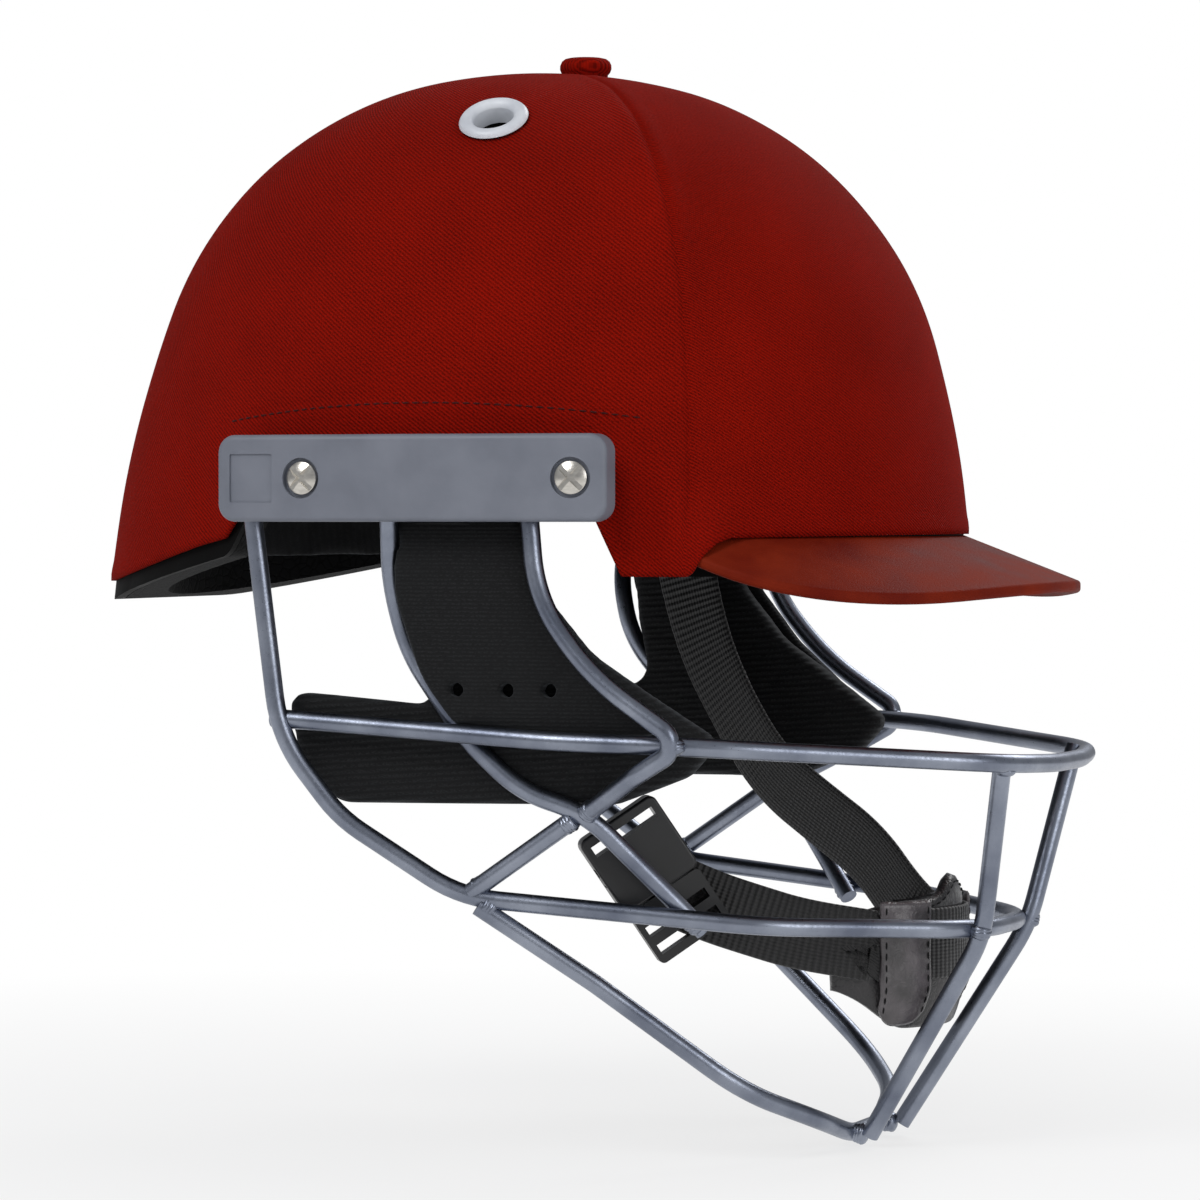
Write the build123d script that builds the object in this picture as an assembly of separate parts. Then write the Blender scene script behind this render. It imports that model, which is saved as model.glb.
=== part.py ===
from build123d import *
from math import acos, asin, atan2, cos, degrees, hypot, radians, sin, sqrt, tan
import os

# Cricket helmet, in millimetres. +X is forward, +Y is the wearer's left, +Z is up.
# The origin is the middle of the head opening, at the height of the rear rim.

# Dome: the outer face of the cloth. Every inner layer follows it at a fixed depth.
shell_half_length = 129.5
shell_half_width = 104.0
crown_height = 153.5
crown_radius = 164.5
crown_angle = 12.8
shoulder_radius = 106.5
shoulder_angle = 72.4
dome_lean = 3.1
dome_shift = 1.3

cloth_thickness = 1.2
layer_gap = 0.3
shell_wall = 3.2
liner_thickness = 12.0
comfort_thickness = 7.0
cloth_depth = 0.0
shell_depth = cloth_depth + cloth_thickness + layer_gap
liner_depth = shell_depth + shell_wall + layer_gap
comfort_depth = liner_depth + liner_thickness + layer_gap
cavity_depth = comfort_depth + comfort_thickness

# Rim: the lower edge, which rises over the ears behind the side covers.
rear_rim_z = 5.5
rim_rise_start_x = -116.0
rim_rise_end_x = -58.0
rim_rise_z = 19.0
rear_lip = 5.5
arch_rear_x = -49.0
arch_front_x = 50.0
arch_z = 29.0
temple_x = 60.0
temple_z = 8.0
rim_corner_radius = 6.0

# Peak: a slice of a flattened cone, cut to a rounded outline.
peak_tip_x = 161.0
peak_front_radius = 110.0
peak_front_half_angle = 30.0
peak_rear_x = 72.0
peak_rear_half_width = 86.0
peak_thickness = 3.8
peak_root_z = 19.5
peak_root_half_length = 126.0
peak_rim_z = 6.2
peak_rim_half_length = 161.0
peak_root_half_width = 100.5
peak_rim_half_width = 114.0
peak_edge_radius = 1.2
peak_edge_share = 0.9

# Top button and the two ventilation eyelets.
button_x = 6.5
button_diameter = 14.3
button_height = 5.2
button_skirt = 1.6
button_edge_radius = 2.4
eyelet_x = 0.0
eyelet_y = 55.0
eyelet_diameter = 20.0
eyelet_bore = 11.5
eyelet_lip = 1.6
eyelet_tube_wall = 1.4

# Impact liner: ribs of air channel along the crown.
channel_width = 9.0
channel_depth = 4.0
channel_count = 3
channel_pitch = 38.0

# Comfort pads, fixed to the liner.
crown_pad_radius = 40.0
sweatband_back_x = 58.0
sweatband_low_z = 14.0
sweatband_high_z = 40.0
rear_pad_front_x = -62.0
rear_pad_low_z = 12.0
rear_pad_high_z = 48.0
side_pad_half_length = 38.0
side_pad_low_z = 54.0
side_pad_high_z = 84.0
pad_seam_width = 2.0
pad_seam_depth = 2.5

# Side cover, with the metal strip and the packer behind it. They follow one wide arc.
cover_centre_x = 3.0
cover_length = 114.6
cover_height = 24.0
cover_low_z = 23.0
cover_corner_radius = 5.0
cover_edge_radius = 1.6
cover_face_y = 109.0
cover_depth = 7.4
cover_wall = 2.2
cover_arc_radius = 400.0
recess_side = 13.4
recess_depth = 0.5
recess_inset = 4.0
screw_rear_x = -28.0
screw_front_x = 50.5
screw_z = 35.0
screw_head_diameter = 9.0
screw_head_height = 2.4
screw_crown_share = 0.9
screw_shank_diameter = 5.0
screw_slot_width = 1.4
screw_slot_depth = 1.1
screw_well_diameter = 11.2
screw_well_depth = 1.8
boss_diameter = 9.6
strip_thickness = 1.6
strip_margin = 3.4
packer_margin = 6.0
hole_clearance = 0.3
tee_flange_diameter = 11.0
tee_flange_thickness = 1.2
tee_barrel_diameter = 7.0

# Grille wires. Each route is a table of shares of the reach, the half width and the drop.
wire_diameter = 5.2
weld_gap = 0.12
grille_reach = 158.0
grille_half_width = 103.0
grille_drop = 152.0
brow_bend_radius = 42.0
bend_share = 0.45
brow_bar_shares = [(-0.263, -0.927, -0.208), (0.274, -0.988, -0.241), (0.538, -0.959, -0.249),
                   (0.987, -0.437, -0.286), (1.019, -0.136, -0.293)]
face_loop_shares = [(-0.297, -0.954, 0.188), (-0.244, -0.950, -0.243), (-0.139, -0.917, -0.388),
                    (0.070, -0.847, -0.531), (0.595, -0.689, -0.579), (0.905, -0.233, -0.599)]
chin_bar_shares = [(0.103, -0.846, -0.547), (0.292, -0.730, -0.688), (0.533, -0.573, -0.888),
                   (0.620, -0.369, -0.947), (0.642, -0.126, -0.993)]
front_upright_shares = [(0.968, -0.375, -0.276), (0.905, -0.236, -0.612), (0.680, -0.149, -0.993)]
middle_stay_shares = [(-0.028, -0.987, 0.188), (-0.044, -0.908, 0.039), (-0.016, -0.888, -0.086),
                      (0.101, -0.918, -0.243), (0.190, -0.874, -0.336), (0.304, -0.842, -0.375),
                      (0.478, -0.655, -0.592)]
front_stay_shares = [(0.230, -0.977, 0.188), (0.250, -0.998, 0.013), (0.354, -1.015, -0.125),
                     (0.522, -1.012, -0.243), (0.430, -0.985, -0.299), (0.307, -0.850, -0.375)]
brace_shares = [(0.282, -0.845, -0.385), (0.089, -0.845, -0.523)]
stay_elbow_radius = 6.5

# Cheek pads: foam shaped on a barrel, so that each is crowned both ways.
cheek_plan_radius = 400.0
cheek_crown_radius = 160.0
cheek_centre_x = 6.0
cheek_centre_z = -12.0
pad_gap = 0.3
ear_panel_face_y = 101.5
ear_panel_thickness = 5.5
ear_panel_rear_x = -5.5
ear_panel_top_z = 24.0
ear_panel_length = 81.5
ear_panel_height = 59.5
ear_panel_shares = [(0.000, 0.000), (0.466, 0.000), (0.520, -0.330), (0.690, -0.630),
                    (1.000, -1.000), (0.260, -1.000), (0.120, -0.740), (0.020, -0.360)]
ear_panel_corner_shares = [0.05, 0.06, 0.40, 0.50, 0.05, 0.20, 0.60, 0.60]
ear_panel_edge = 1.8
ear_hole_diameter = 4.0
ear_hole_z = -23.0
ear_hole_shares = [0.249, 0.429, 0.577]
jaw_pad_face_y = 94.0
jaw_pad_thickness = 10.0
jaw_pad_rear_x = -41.0
jaw_pad_top_z = 24.0
jaw_pad_length = 126.0
jaw_pad_height = 80.0
jaw_pad_shares = [(0.310, 0.000), (0.587, 0.000), (0.611, -0.250), (0.722, -0.462),
                  (1.000, -0.763), (0.930, -0.888), (0.762, -0.990), (0.120, -1.000),
                  (0.030, -0.875), (0.000, -0.600), (0.365, -0.644), (0.333, -0.400)]
jaw_pad_corner_shares = [0.06, 0.06, 0.20, 0.30, 0.05, 0.10, 0.10, 0.09, 0.09, 0.06, 0.06, 0.18]
jaw_pad_edge = 3.4

# Chin harness: one strap from the left anchor round the cup to the buckle, one from the
# right anchor to the buckle. Seen from above both lie on one line and the cup's arc.
webbing_width = 20.0
webbing_thickness = 1.6
anchor_x = 12.0
anchor_z = 37.0
anchor_y = 77.0
strap_flat_x = 24.0
strap_flat_radius = 30.0
strap_knee_x = 52.0
strap_knee_y = 63.0
strap_knee_radius = 45.0
cup_centre_x = 96.0
cup_band_radius = 34.0
cup_band_z = -96.0
strap_reach = 160.0
strap_drop = 100.0
left_strap_shares = [(0.075, 0.440), (0.165, -0.140), (0.330, -0.530), (0.560, -0.745),
                     (0.690, -0.960), (1.000, -0.960)]
left_strap_bend_shares = [0.30, 0.40, 0.40, 0.09]
right_strap_shares = [(0.075, 0.440), (0.150, -0.140), (0.256, -0.450)]
right_strap_bend_shares = [0.30]
cup_strap_shares = [(0.398, -0.800), (0.512, -0.880), (0.660, -0.960), (1.000, -0.960)]
cup_strap_bend_shares = [0.30, 0.30]
anchor_pin_diameter = 5.0
anchor_head_diameter = 11.0
anchor_head_height = 1.6

# Chin cup: a padded bowl behind the strap, with two sleeves that hold it on the strap.
cup_wall = 4.0
cup_gap = 0.3
cup_band_height = 22.0
cup_lower_height = 13.0
cup_upper_height = 8.0
cup_curl_radius = 24.0
cup_half_angle = 82.0
sleeve_wall = 1.2
sleeve_clearance = 0.4
sleeve_start_angle = 33.0
sleeve_end_angle = 53.0

# Side-release buckle, in its own frame: its axis runs down and forward from the strap.
buckle_pitch = 56.0
buckle_width = 25.0
buckle_thickness = 6.6
buckle_stand_off = 0.35
buckle_top_x = 47.5
buckle_top_z = -59.0
receptacle_length = 24.0
receptacle_wall = 1.3
receptacle_bar = 3.0
receptacle_slot = 3.2
window_length = 6.0
window_start = 9.0
insert_gap = 0.5
insert_length = 17.0
insert_bar = 2.8
insert_slot = 3.0
insert_body_thickness = 5.0
arm_thickness = 3.6
arm_width = 2.6
arm_length = 16.5
arm_gap = 0.3
barb_length = 4.5
tongue_width = 5.0
tongue_length = 13.0
buckle_edge = 0.8

wire_radius = wire_diameter / 2
cover_back_y = cover_face_y - cover_depth
strip_face_y = cover_face_y - cover_wall - hole_clearance
strip_back_y = strip_face_y - strip_thickness
side_screw_xs = [screw_rear_x, screw_front_x]
far = 2 * crown_height


def save(name, shape):
    os.makedirs("parts", exist_ok=True)
    export_step(shape, "parts/" + name + ".step")
    print(name, "solids", len(shape.solids()), "volume", round(shape.volume, 1))


def lone(shape):
    # The one big solid of a cut, without the crumbs that a cut can leave.
    return max(shape.solids(), key=lambda piece: piece.volume)


def other_side(shape):
    return mirror(shape, Plane.XZ)


# Dome and rim

def dome_arcs(depth):
    # Radius and centre of the three arcs of the profile: crown, shoulder and side.
    first = radians(crown_angle)
    second = radians(shoulder_angle)
    crown_z = crown_height - crown_radius
    shoulder_x = (crown_radius - shoulder_radius) * sin(first)
    shoulder_z = crown_z + (crown_radius - shoulder_radius) * cos(first)
    side_radius = ((shell_half_length - shoulder_x - shoulder_radius * sin(second))
                   / (1 - sin(second)))
    side_x = shell_half_length - side_radius
    side_z = shoulder_z + (shoulder_radius - side_radius) * cos(second)
    return [(crown_radius - depth, 0, crown_z),
            (shoulder_radius - depth, shoulder_x, shoulder_z),
            (side_radius - depth, side_x, side_z)]


def dome_width_ratio(depth):
    return (shell_half_width - depth) / (shell_half_length - depth)


def dome(depth):
    # A solid dome whose surface lies this deep under the cloth's outer face.
    crown, shoulder, side = dome_arcs(depth)
    top = CenterArc((crown[1], crown[2]), crown[0], 90 - crown_angle, crown_angle)
    middle = CenterArc((shoulder[1], shoulder[2]), shoulder[0], 90 - shoulder_angle,
                       shoulder_angle - crown_angle)
    flank = CenterArc((side[1], side[2]), side[0], 0, 90 - shoulder_angle)
    floor = -crown_height / 4
    rest = Polyline(flank @ 0, ((flank @ 0).X, floor), (0, floor), top @ 1)
    half = make_face(Plane.XZ * (top + middle + flank + rest))
    shaped = scale(revolve(half, Axis.Z), by=(1, dome_width_ratio(depth), 1))
    return Pos(dome_shift, 0, 0) * Rot(0, dome_lean, 0) * shaped


def dome_spot(x, y, depth):
    # A place on the crown or shoulder with its local Z along the outward normal.
    crown, shoulder, _ = dome_arcs(depth)
    ratio = dome_width_ratio(depth)
    r = hypot(x, y / ratio)
    if r < crown[0] * sin(radians(crown_angle)):
        arc = crown
    else:
        arc = shoulder
    rise = sqrt(arc[0] ** 2 - (r - arc[1]) ** 2)
    slope = (r - arc[1]) / rise
    normal = Vector(slope * x / r, slope * y / (r * ratio ** 2), 1)
    spot = Plane(origin=(x, y, arc[2] + rise), z_dir=normal)
    return Pos(dome_shift, 0, 0) * Rot(0, dome_lean, 0) * spot.location


def wall_y(depth, x, z):
    # |y| of the layer this deep, low down where the side arc rules.
    side = dome_arcs(depth)[2]
    half_length = side[1] + sqrt(side[0] ** 2 - (z - side[2]) ** 2)
    along = x - dome_shift - z * sin(radians(dome_lean))
    half_width = half_length * dome_width_ratio(depth)
    return half_width * sqrt(1 - (along / half_length) ** 2)


def rim_knife(lip):
    # Everything below the rim line, drawn from the side. The rear can hang lower by a lip.
    outline = FilletPolyline(
        (-far, rear_rim_z - lip), (rim_rise_start_x, rear_rim_z - lip),
        (rim_rise_end_x, rim_rise_z - lip), (arch_rear_x, arch_z), (arch_front_x, arch_z),
        (temple_x, temple_z), (far, temple_z),
        radius=[rim_corner_radius * 4, rim_corner_radius, rim_corner_radius / 2,
                rim_corner_radius / 2, rim_corner_radius / 2])
    rest = Polyline(outline @ 1, (far, -far), (-far, -far), outline @ 0)
    face = make_face(Plane.XZ * (outline + rest))
    return extrude(face, amount=far, both=True)


def layer(depth, thickness):
    return dome(depth) - dome(depth + thickness)


# Peak

def peak_outline(grow):
    # Half of the outline: the front arc, then a side arc that turns back to the shell.
    turn = radians(peak_front_half_angle)
    centre_x = peak_tip_x - peak_front_radius
    corner = (centre_x + peak_front_radius * cos(turn), peak_front_radius * sin(turn))
    front = ThreePointArc((corner[0], -corner[1]), (peak_tip_x, 0), corner)
    left = TangentArc(corner, (peak_rear_x, peak_rear_half_width), tangent=(-sin(turn), cos(turn)))
    right = mirror(left, Plane.XZ)
    back = Line((peak_rear_x, peak_rear_half_width), (peak_rear_x, -peak_rear_half_width))
    face = make_face(front + left + right + back)
    if grow:
        face = offset(face, amount=grow, kind=Kind.INTERSECTION)
    return face


def peak_hill(rise):
    # The solid under a ruled slope, from the dome's ellipse down to the peak's longer one.
    step_z = peak_root_z - peak_rim_z
    step_x = peak_rim_half_length - peak_root_half_length
    step_y = peak_rim_half_width - peak_root_half_width
    high = Pos(0, 0, peak_root_z + step_z + rise) * Ellipse(peak_root_half_length - step_x,
                                                            peak_root_half_width - step_y)
    low = Pos(0, 0, peak_rim_z - step_z + rise) * Ellipse(peak_rim_half_length + step_x,
                                                          peak_rim_half_width + step_y)
    return loft([low, high], ruled=True)


def peak():
    block = extrude(peak_outline(0), amount=far, both=True)
    plate = block & (peak_hill(0) - peak_hill(-peak_thickness))
    piece = lone(plate - dome(shell_depth - layer_gap))
    level = piece.edges().filter_by(lambda e: e.length > 2 * peak_thickness)
    outer = level.filter_by(lambda e: hypot((e @ 0.5).X / peak_rim_half_length,
                                            (e @ 0.5).Y / peak_rim_half_width) > peak_edge_share)
    return fillet(outer, peak_edge_radius)


# Shell, cloth and liner

def side_axis(x):
    # A place on the side covers' arc: local Z points outward, origin at the arc's centre.
    turn = degrees(asin((x - cover_centre_x) / cover_arc_radius))
    centre = Pos(cover_centre_x, cover_arc_radius - cover_face_y, screw_z)
    return centre * Rot(0, 0, turn) * Rot(90, 0, 0)


def side_radius(y):
    # Distance from the arc's centre of a surface that lies at this |y| at mid length.
    return cover_arc_radius - cover_face_y + y


def side_bore(x, diameter, from_y, to_y):
    span = to_y - from_y
    return side_axis(x) * Pos(0, 0, side_radius(from_y) + span / 2) * Cylinder(diameter / 2, span)


def screw_holes():
    reach = cover_face_y - shell_half_width / 2
    bores = [side_bore(x, screw_shank_diameter + 2 * hole_clearance, cover_face_y - reach,
                       cover_face_y) for x in side_screw_xs]
    right = bores[0] + bores[1]
    return right + other_side(right)


def tee_nut(x, grow):
    # A flange behind the shell with a barrel that reaches out through it.
    seat = shell_seat_y(x)
    flange = side_bore(x, tee_flange_diameter + 2 * grow,
                       seat - tee_flange_thickness - grow, seat + grow)
    barrel = side_bore(x, tee_barrel_diameter + 2 * grow, seat, seat + shell_wall / 2 + grow)
    return flange + barrel


def shell_seat_y(x):
    # |y| on the covers' arc where the shell's inner wall meets the screw's line.
    drop = cover_arc_radius - sqrt(cover_arc_radius ** 2 - (x - cover_centre_x) ** 2)
    return wall_y(shell_depth + shell_wall, x, screw_z) + drop


def tee_nuts(grow):
    return tee_nut(screw_rear_x, grow) + tee_nut(screw_front_x, grow)


def eyelet_bores():
    bore = dome_spot(eyelet_x, -eyelet_y, 0) * Cylinder(eyelet_bore / 2 + eyelet_tube_wall
                                                        + layer_gap, crown_height / 2)
    return bore + other_side(bore)


def eyelet():
    # A flanged ring with a rounded lip, and a tube down through cloth and shell.
    lip_radius = eyelet_diameter / 2
    bore = eyelet_bore / 2
    tube = bore + eyelet_tube_wall
    tail = shell_depth + shell_wall
    seat = layer_gap
    roll = ThreePointArc((lip_radius, seat), ((lip_radius + bore) / 2, seat + eyelet_lip),
                         (bore, seat))
    rest = Polyline((bore, seat), (bore, -tail), (tube, -tail), (tube, seat), (lip_radius, seat))
    ring = revolve(make_face(Plane.XZ * (roll + rest)), Axis.Z)
    return dome_spot(eyelet_x, -eyelet_y, 0) * ring


def button():
    # A cloth-covered button with a rounded rim, hollowed below to sit on the crown.
    height = button_height + button_skirt
    body = Cylinder(button_diameter / 2, height, align=(Align.CENTER, Align.CENTER, Align.MIN))
    body = fillet(body.edges().sort_by(Axis.Z)[-1], button_edge_radius)
    seat_radius = crown_radius * dome_width_ratio(0) ** 2
    seat = Pos(0, 0, button_skirt - seat_radius) * Sphere(seat_radius + layer_gap / 3)
    return dome_spot(button_x, 0, 0) * Pos(0, 0, -button_skirt) * lone(body - seat)


def stay_notches():
    # Room in the shell and the cloth for the tops of the middle stays.
    rod = middle_stay(hole_clearance)
    return rod + other_side(rod)


def cloth_cover(knife):
    under_peak = (extrude(peak_outline(layer_gap), amount=far, both=True)
                  & peak_hill(layer_gap))
    return lone(layer(cloth_depth, cloth_thickness) - knife - under_peak - eyelet_bores()
                - screw_holes() - stay_notches())


def shell_moulding(knife):
    body = layer(shell_depth, shell_wall) - knife - eyelet_bores() - screw_holes()
    body = body - stay_notches()
    nuts = tee_nuts(layer_gap / 3)
    return lone(body - nuts - other_side(nuts))


def liner_channels():
    # Air channels that run from front to rear over the crown, open to the head.
    reach = comfort_depth + channel_depth
    slab = layer(comfort_depth - layer_gap - channel_depth, reach)
    first = -(channel_count - 1) / 2 * channel_pitch
    bars = [Pos(0, first + i * channel_pitch, crown_height)
            * Box(far, channel_width, crown_height) for i in range(channel_count)]
    cuts = [slab & bar for bar in bars]
    return cuts


def impact_liner(knife):
    body = layer(liner_depth, liner_thickness) - knife - eyelet_bores()
    nuts = tee_nuts(layer_gap)
    body = body - nuts - other_side(nuts) - anchor_holes()
    for cut in liner_channels():
        body = body - cut
    return lone(body)


def comfort_block(x_low, x_high, z_low, z_high):
    centre = ((x_low + x_high) / 2, 0, (z_low + z_high) / 2)
    return Pos(*centre) * Box(x_high - x_low, far, z_high - z_low)


def front_sweatband(lining):
    band = lining & comfort_block(sweatband_back_x, far, sweatband_low_z, sweatband_high_z)
    return lone(band)


def rear_pad(lining):
    return lone(lining & comfort_block(-far, rear_pad_front_x, rear_pad_low_z, rear_pad_high_z))


def side_pad(lining):
    block = comfort_block(-side_pad_half_length, side_pad_half_length,
                          side_pad_low_z, side_pad_high_z)
    half = Pos(0, -far / 2, 0) * Box(far, far, far)
    return lone(lining & block & half)


def crown_pad(lining):
    post = Pos(0, 0, crown_height) * Cylinder(crown_pad_radius, crown_height)
    return lone(lining & post)


# Side cover, strip, packer and screws

def side_outline(margin):
    # A rounded bar seen from the side, smaller than the cover by this margin.
    centre = (cover_centre_x, cover_low_z + cover_height / 2)
    corner = max(cover_corner_radius - margin, cover_corner_radius / 4)
    shape = RectangleRounded(cover_length - 2 * margin, cover_height - 2 * margin, corner)
    return Plane.XZ * (Pos(*centre) * shape)


def side_slab(outline, back_y, face_y):
    # The outline pushed through the covers' arc between two |y| at mid length.
    prism = extrude(outline, amount=2 * cover_face_y)
    centre = Pos(cover_centre_x, cover_arc_radius - cover_face_y, 0)
    outer = centre * Cylinder(side_radius(face_y), far)
    inner = centre * Cylinder(side_radius(back_y), far)
    return prism & (outer - inner)


def screw_well_bores():
    well_floor = cover_face_y - screw_well_depth
    wells = [side_bore(x, screw_well_diameter, well_floor, cover_face_y + cover_wall)
             for x in side_screw_xs]
    return wells[0] + wells[1]


def side_cover(wires):
    body = side_slab(side_outline(0), cover_back_y, cover_face_y)
    face_edges = body.edges().filter_by(
        lambda e: -(e @ 0.5).Y > cover_face_y - cover_wall - cover_wall
        and -(e @ 0.5).Y > cover_back_y + cover_wall)
    body = fillet(face_edges, cover_edge_radius)
    pocket = side_slab(side_outline(cover_wall), cover_back_y - cover_wall,
                       cover_face_y - cover_wall)
    body = body - pocket
    recess_x = cover_centre_x - cover_length / 2 + recess_inset + recess_side / 2
    square = Plane.XZ * (Pos(recess_x, screw_z) * RectangleRounded(recess_side, recess_side,
                                                                   recess_depth))
    body = body - side_slab(square, cover_face_y - recess_depth, cover_face_y + cover_wall)
    for x in side_screw_xs:
        rim = side_bore(x, screw_well_diameter + 2 * cover_wall, strip_face_y + hole_clearance,
                        cover_face_y - cover_wall / 2)
        body = body + (rim & side_slab(side_outline(cover_edge_radius), strip_face_y,
                                       cover_face_y))
    body = body - screw_well_bores()
    for x in side_screw_xs:
        body = body - side_bore(x, screw_shank_diameter + 2 * hole_clearance,
                                cover_back_y, cover_face_y)
    return lone(body - wires)


def side_strip():
    # The metal strip that the three wires of this side are welded to.
    body = side_slab(side_outline(strip_margin), strip_back_y, strip_face_y)
    for x in side_screw_xs:
        body = body - side_bore(x, screw_shank_diameter + 2 * hole_clearance,
                                strip_back_y - strip_thickness, strip_face_y + strip_thickness)
    return lone(body)


def side_packer():
    # Fills the wedge between the flat strip and the round shell, above the wires' ends.
    low_z = arch_z + layer_gap + cover_wall
    high_z = cover_low_z + cover_height - packer_margin / 2
    centre = (cover_centre_x, (low_z + high_z) / 2)
    shape = RectangleRounded(cover_length - 2 * packer_margin, high_z - low_z,
                             (high_z - low_z) / 3)
    body = side_slab(Plane.XZ * (Pos(*centre) * shape), cover_face_y / 2,
                     strip_back_y - weld_gap)
    body = body - dome(-layer_gap)
    for x in side_screw_xs:
        body = body - side_bore(x, screw_shank_diameter + 2 * hole_clearance,
                                cover_face_y / 2, cover_face_y)
    return lone(body)


def side_screw(x):
    # A raised head with a crossed slot, and a shank down into the tee nut.
    head_floor = cover_face_y - screw_well_depth
    head_radius = screw_head_diameter / 2
    shank_radius = screw_shank_diameter / 2
    tip = shell_seat_y(x) - tee_flange_thickness - cover_face_y
    low = hole_clearance / 3 - screw_well_depth
    crown = ThreePointArc((head_radius, low + screw_head_height / 2),
                          (head_radius / 2, low + screw_crown_share * screw_head_height),
                          (0, low + screw_head_height))
    rest = Polyline((0, low + screw_head_height), (0, tip), (shank_radius, tip),
                    (shank_radius, low), (head_radius, low),
                    (head_radius, low + screw_head_height / 2))
    body = revolve(make_face(Plane.XZ * (crown + rest)), Axis.Z)
    slot = Pos(0, 0, low + screw_head_height) * Box(screw_head_diameter, screw_slot_width,
                                                    2 * screw_slot_depth)
    body = body - Rot(0, 0, 45) * slot - Rot(0, 0, -45) * slot
    return lone(side_axis(x) * Pos(0, 0, side_radius(cover_face_y)) * body)


def side_screws():
    return Compound([side_screw(x) for x in side_screw_xs])


def side_tee_nuts():
    nuts = []
    for x in side_screw_xs:
        bore = side_bore(x, screw_shank_diameter + 2 * hole_clearance / 3, cover_face_y / 2,
                         cover_face_y)
        nuts.append(lone(tee_nut(x, 0) - bore))
    return Compound(nuts)


# Grille

def route(shares):
    return [Vector(x * grille_reach, y * grille_half_width, z * grille_drop)
            for x, y, z in shares]


def bend_radii(points, largest):
    # Each bend is as wide as its two runs allow, up to the largest the bender is set to.
    radii = []
    for before, here, after in zip(points, points[1:], points[2:]):
        turn = radians((here - before).get_angle(after - here))
        shorter = min((here - before).length, (after - here).length)
        radii.append(min(largest, bend_share * shorter / tan(turn / 2)))
    return radii


def wire(points, radius, largest):
    if len(points) == 2:
        path = Line(points[0], points[1])
    else:
        path = FilletPolyline(*points, radius=bend_radii(points, largest))
    start = path % 0
    disc = Plane(origin=path @ 0, z_dir=start) * Circle(radius)
    return sweep(disc, path=path)


def both_ways(points):
    # A route from the right side round the front to the left side.
    return points + [Vector(p.X, -p.Y, p.Z) for p in reversed(points)]


def brow_bar(grow):
    return wire(both_ways(route(brow_bar_shares)), wire_radius + grow, brow_bend_radius * 2)


def face_loop(grow):
    return wire(both_ways(route(face_loop_shares)), wire_radius + grow, brow_bend_radius)


def chin_bar(grow):
    return wire(both_ways(route(chin_bar_shares)), wire_radius + grow, brow_bend_radius)


def front_upright(grow):
    return wire(route(front_upright_shares), wire_radius + grow, brow_bend_radius)


def middle_stay(grow):
    return wire(route(middle_stay_shares), wire_radius + grow, brow_bend_radius)


def front_stay(grow):
    points = route(front_stay_shares)
    radii = bend_radii(points, 2 * brow_bend_radius)
    radii[-1] = stay_elbow_radius
    path = FilletPolyline(*points, radius=radii)
    disc = Plane(origin=path @ 0, z_dir=path % 0) * Circle(wire_radius + grow)
    return sweep(disc, path=path)


def brace(grow):
    return wire(route(brace_shares), wire_radius + grow, brow_bend_radius)


def grille():
    # Each wire gives way to the ones that it is welded to, with the weld's hair gap.
    brow = brow_bar(0)
    brow_fat = brow_bar(weld_gap)
    loop_fat = face_loop(weld_gap)
    stay_fat = middle_stay(weld_gap)
    chin = lone(chin_bar(0) - loop_fat)
    loop = lone(face_loop(0))
    stay = lone(middle_stay(0) - brow_fat - loop_fat)
    front = lone(front_stay(0) - brow_fat - stay_fat)
    strut = lone(brace(0) - stay_fat - loop_fat - chin_bar(weld_gap) - front_stay(weld_gap))
    upright = lone(front_upright(0) - brow_fat - loop_fat - chin_bar(weld_gap))
    # The bar's rear end butts against the face loop's rear leg.
    brow = lone(brow - loop_fat - other_side(loop_fat))
    return {"brow_bar": brow, "face_loop": loop, "chin_bar": chin, "middle_stay": stay,
            "front_stay": front, "brace": strut, "front_upright": upright}


# Cheek pads

def cheek_slab(face_y, thickness):
    # Foam between two barrels, which gives the crown along and across the pad.
    major = cheek_plan_radius - cheek_crown_radius
    place = Pos(cheek_centre_x, cheek_plan_radius - face_y, cheek_centre_z)
    outer = place * Torus(major, cheek_crown_radius)
    inner = place * Torus(major, cheek_crown_radius - thickness)
    return outer - inner


def cheek_outline(corner_x, corner_z, length, height, shares, corner_shares):
    points = [(corner_x + x * length, corner_z + z * height) for x, z in shares]
    line = FilletPolyline(*points, radius=[s * height for s in corner_shares], close=True)
    return extrude(make_face(Plane.XZ * line), amount=2 * jaw_pad_face_y, dir=(0, -1, 0))


def soft_edges(piece, radius):
    edges = piece.edges().filter_by(lambda e: e.length > radius)
    rims = edges.filter_by(lambda e: abs((e.tangent_at(0.5)).Y) < 0.5)
    return fillet(rims, radius)


def ear_panel(wires):
    prism = cheek_outline(ear_panel_rear_x, ear_panel_top_z, ear_panel_length,
                          ear_panel_height, ear_panel_shares, ear_panel_corner_shares)
    body = lone(prism & cheek_slab(ear_panel_face_y, ear_panel_thickness))
    body = soft_edges(body, ear_panel_edge)
    for share in ear_hole_shares:
        x = ear_panel_rear_x + share * ear_panel_length
        body = body - Pos(x, -ear_panel_face_y, ear_hole_z) * Rot(90, 0, 0) * Cylinder(
            ear_hole_diameter / 2, jaw_pad_thickness * 2)
    for rod in wires:
        body = body - rod
    return lone(body)


def jaw_pad(wires):
    prism = cheek_outline(jaw_pad_rear_x, jaw_pad_top_z, jaw_pad_length, jaw_pad_height,
                          jaw_pad_shares, jaw_pad_corner_shares)
    body = lone(prism & cheek_slab(jaw_pad_face_y, jaw_pad_thickness))
    body = soft_edges(body, jaw_pad_edge)
    for rod in wires:
        body = body - rod
    return lone(body)


# Chin harness

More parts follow.
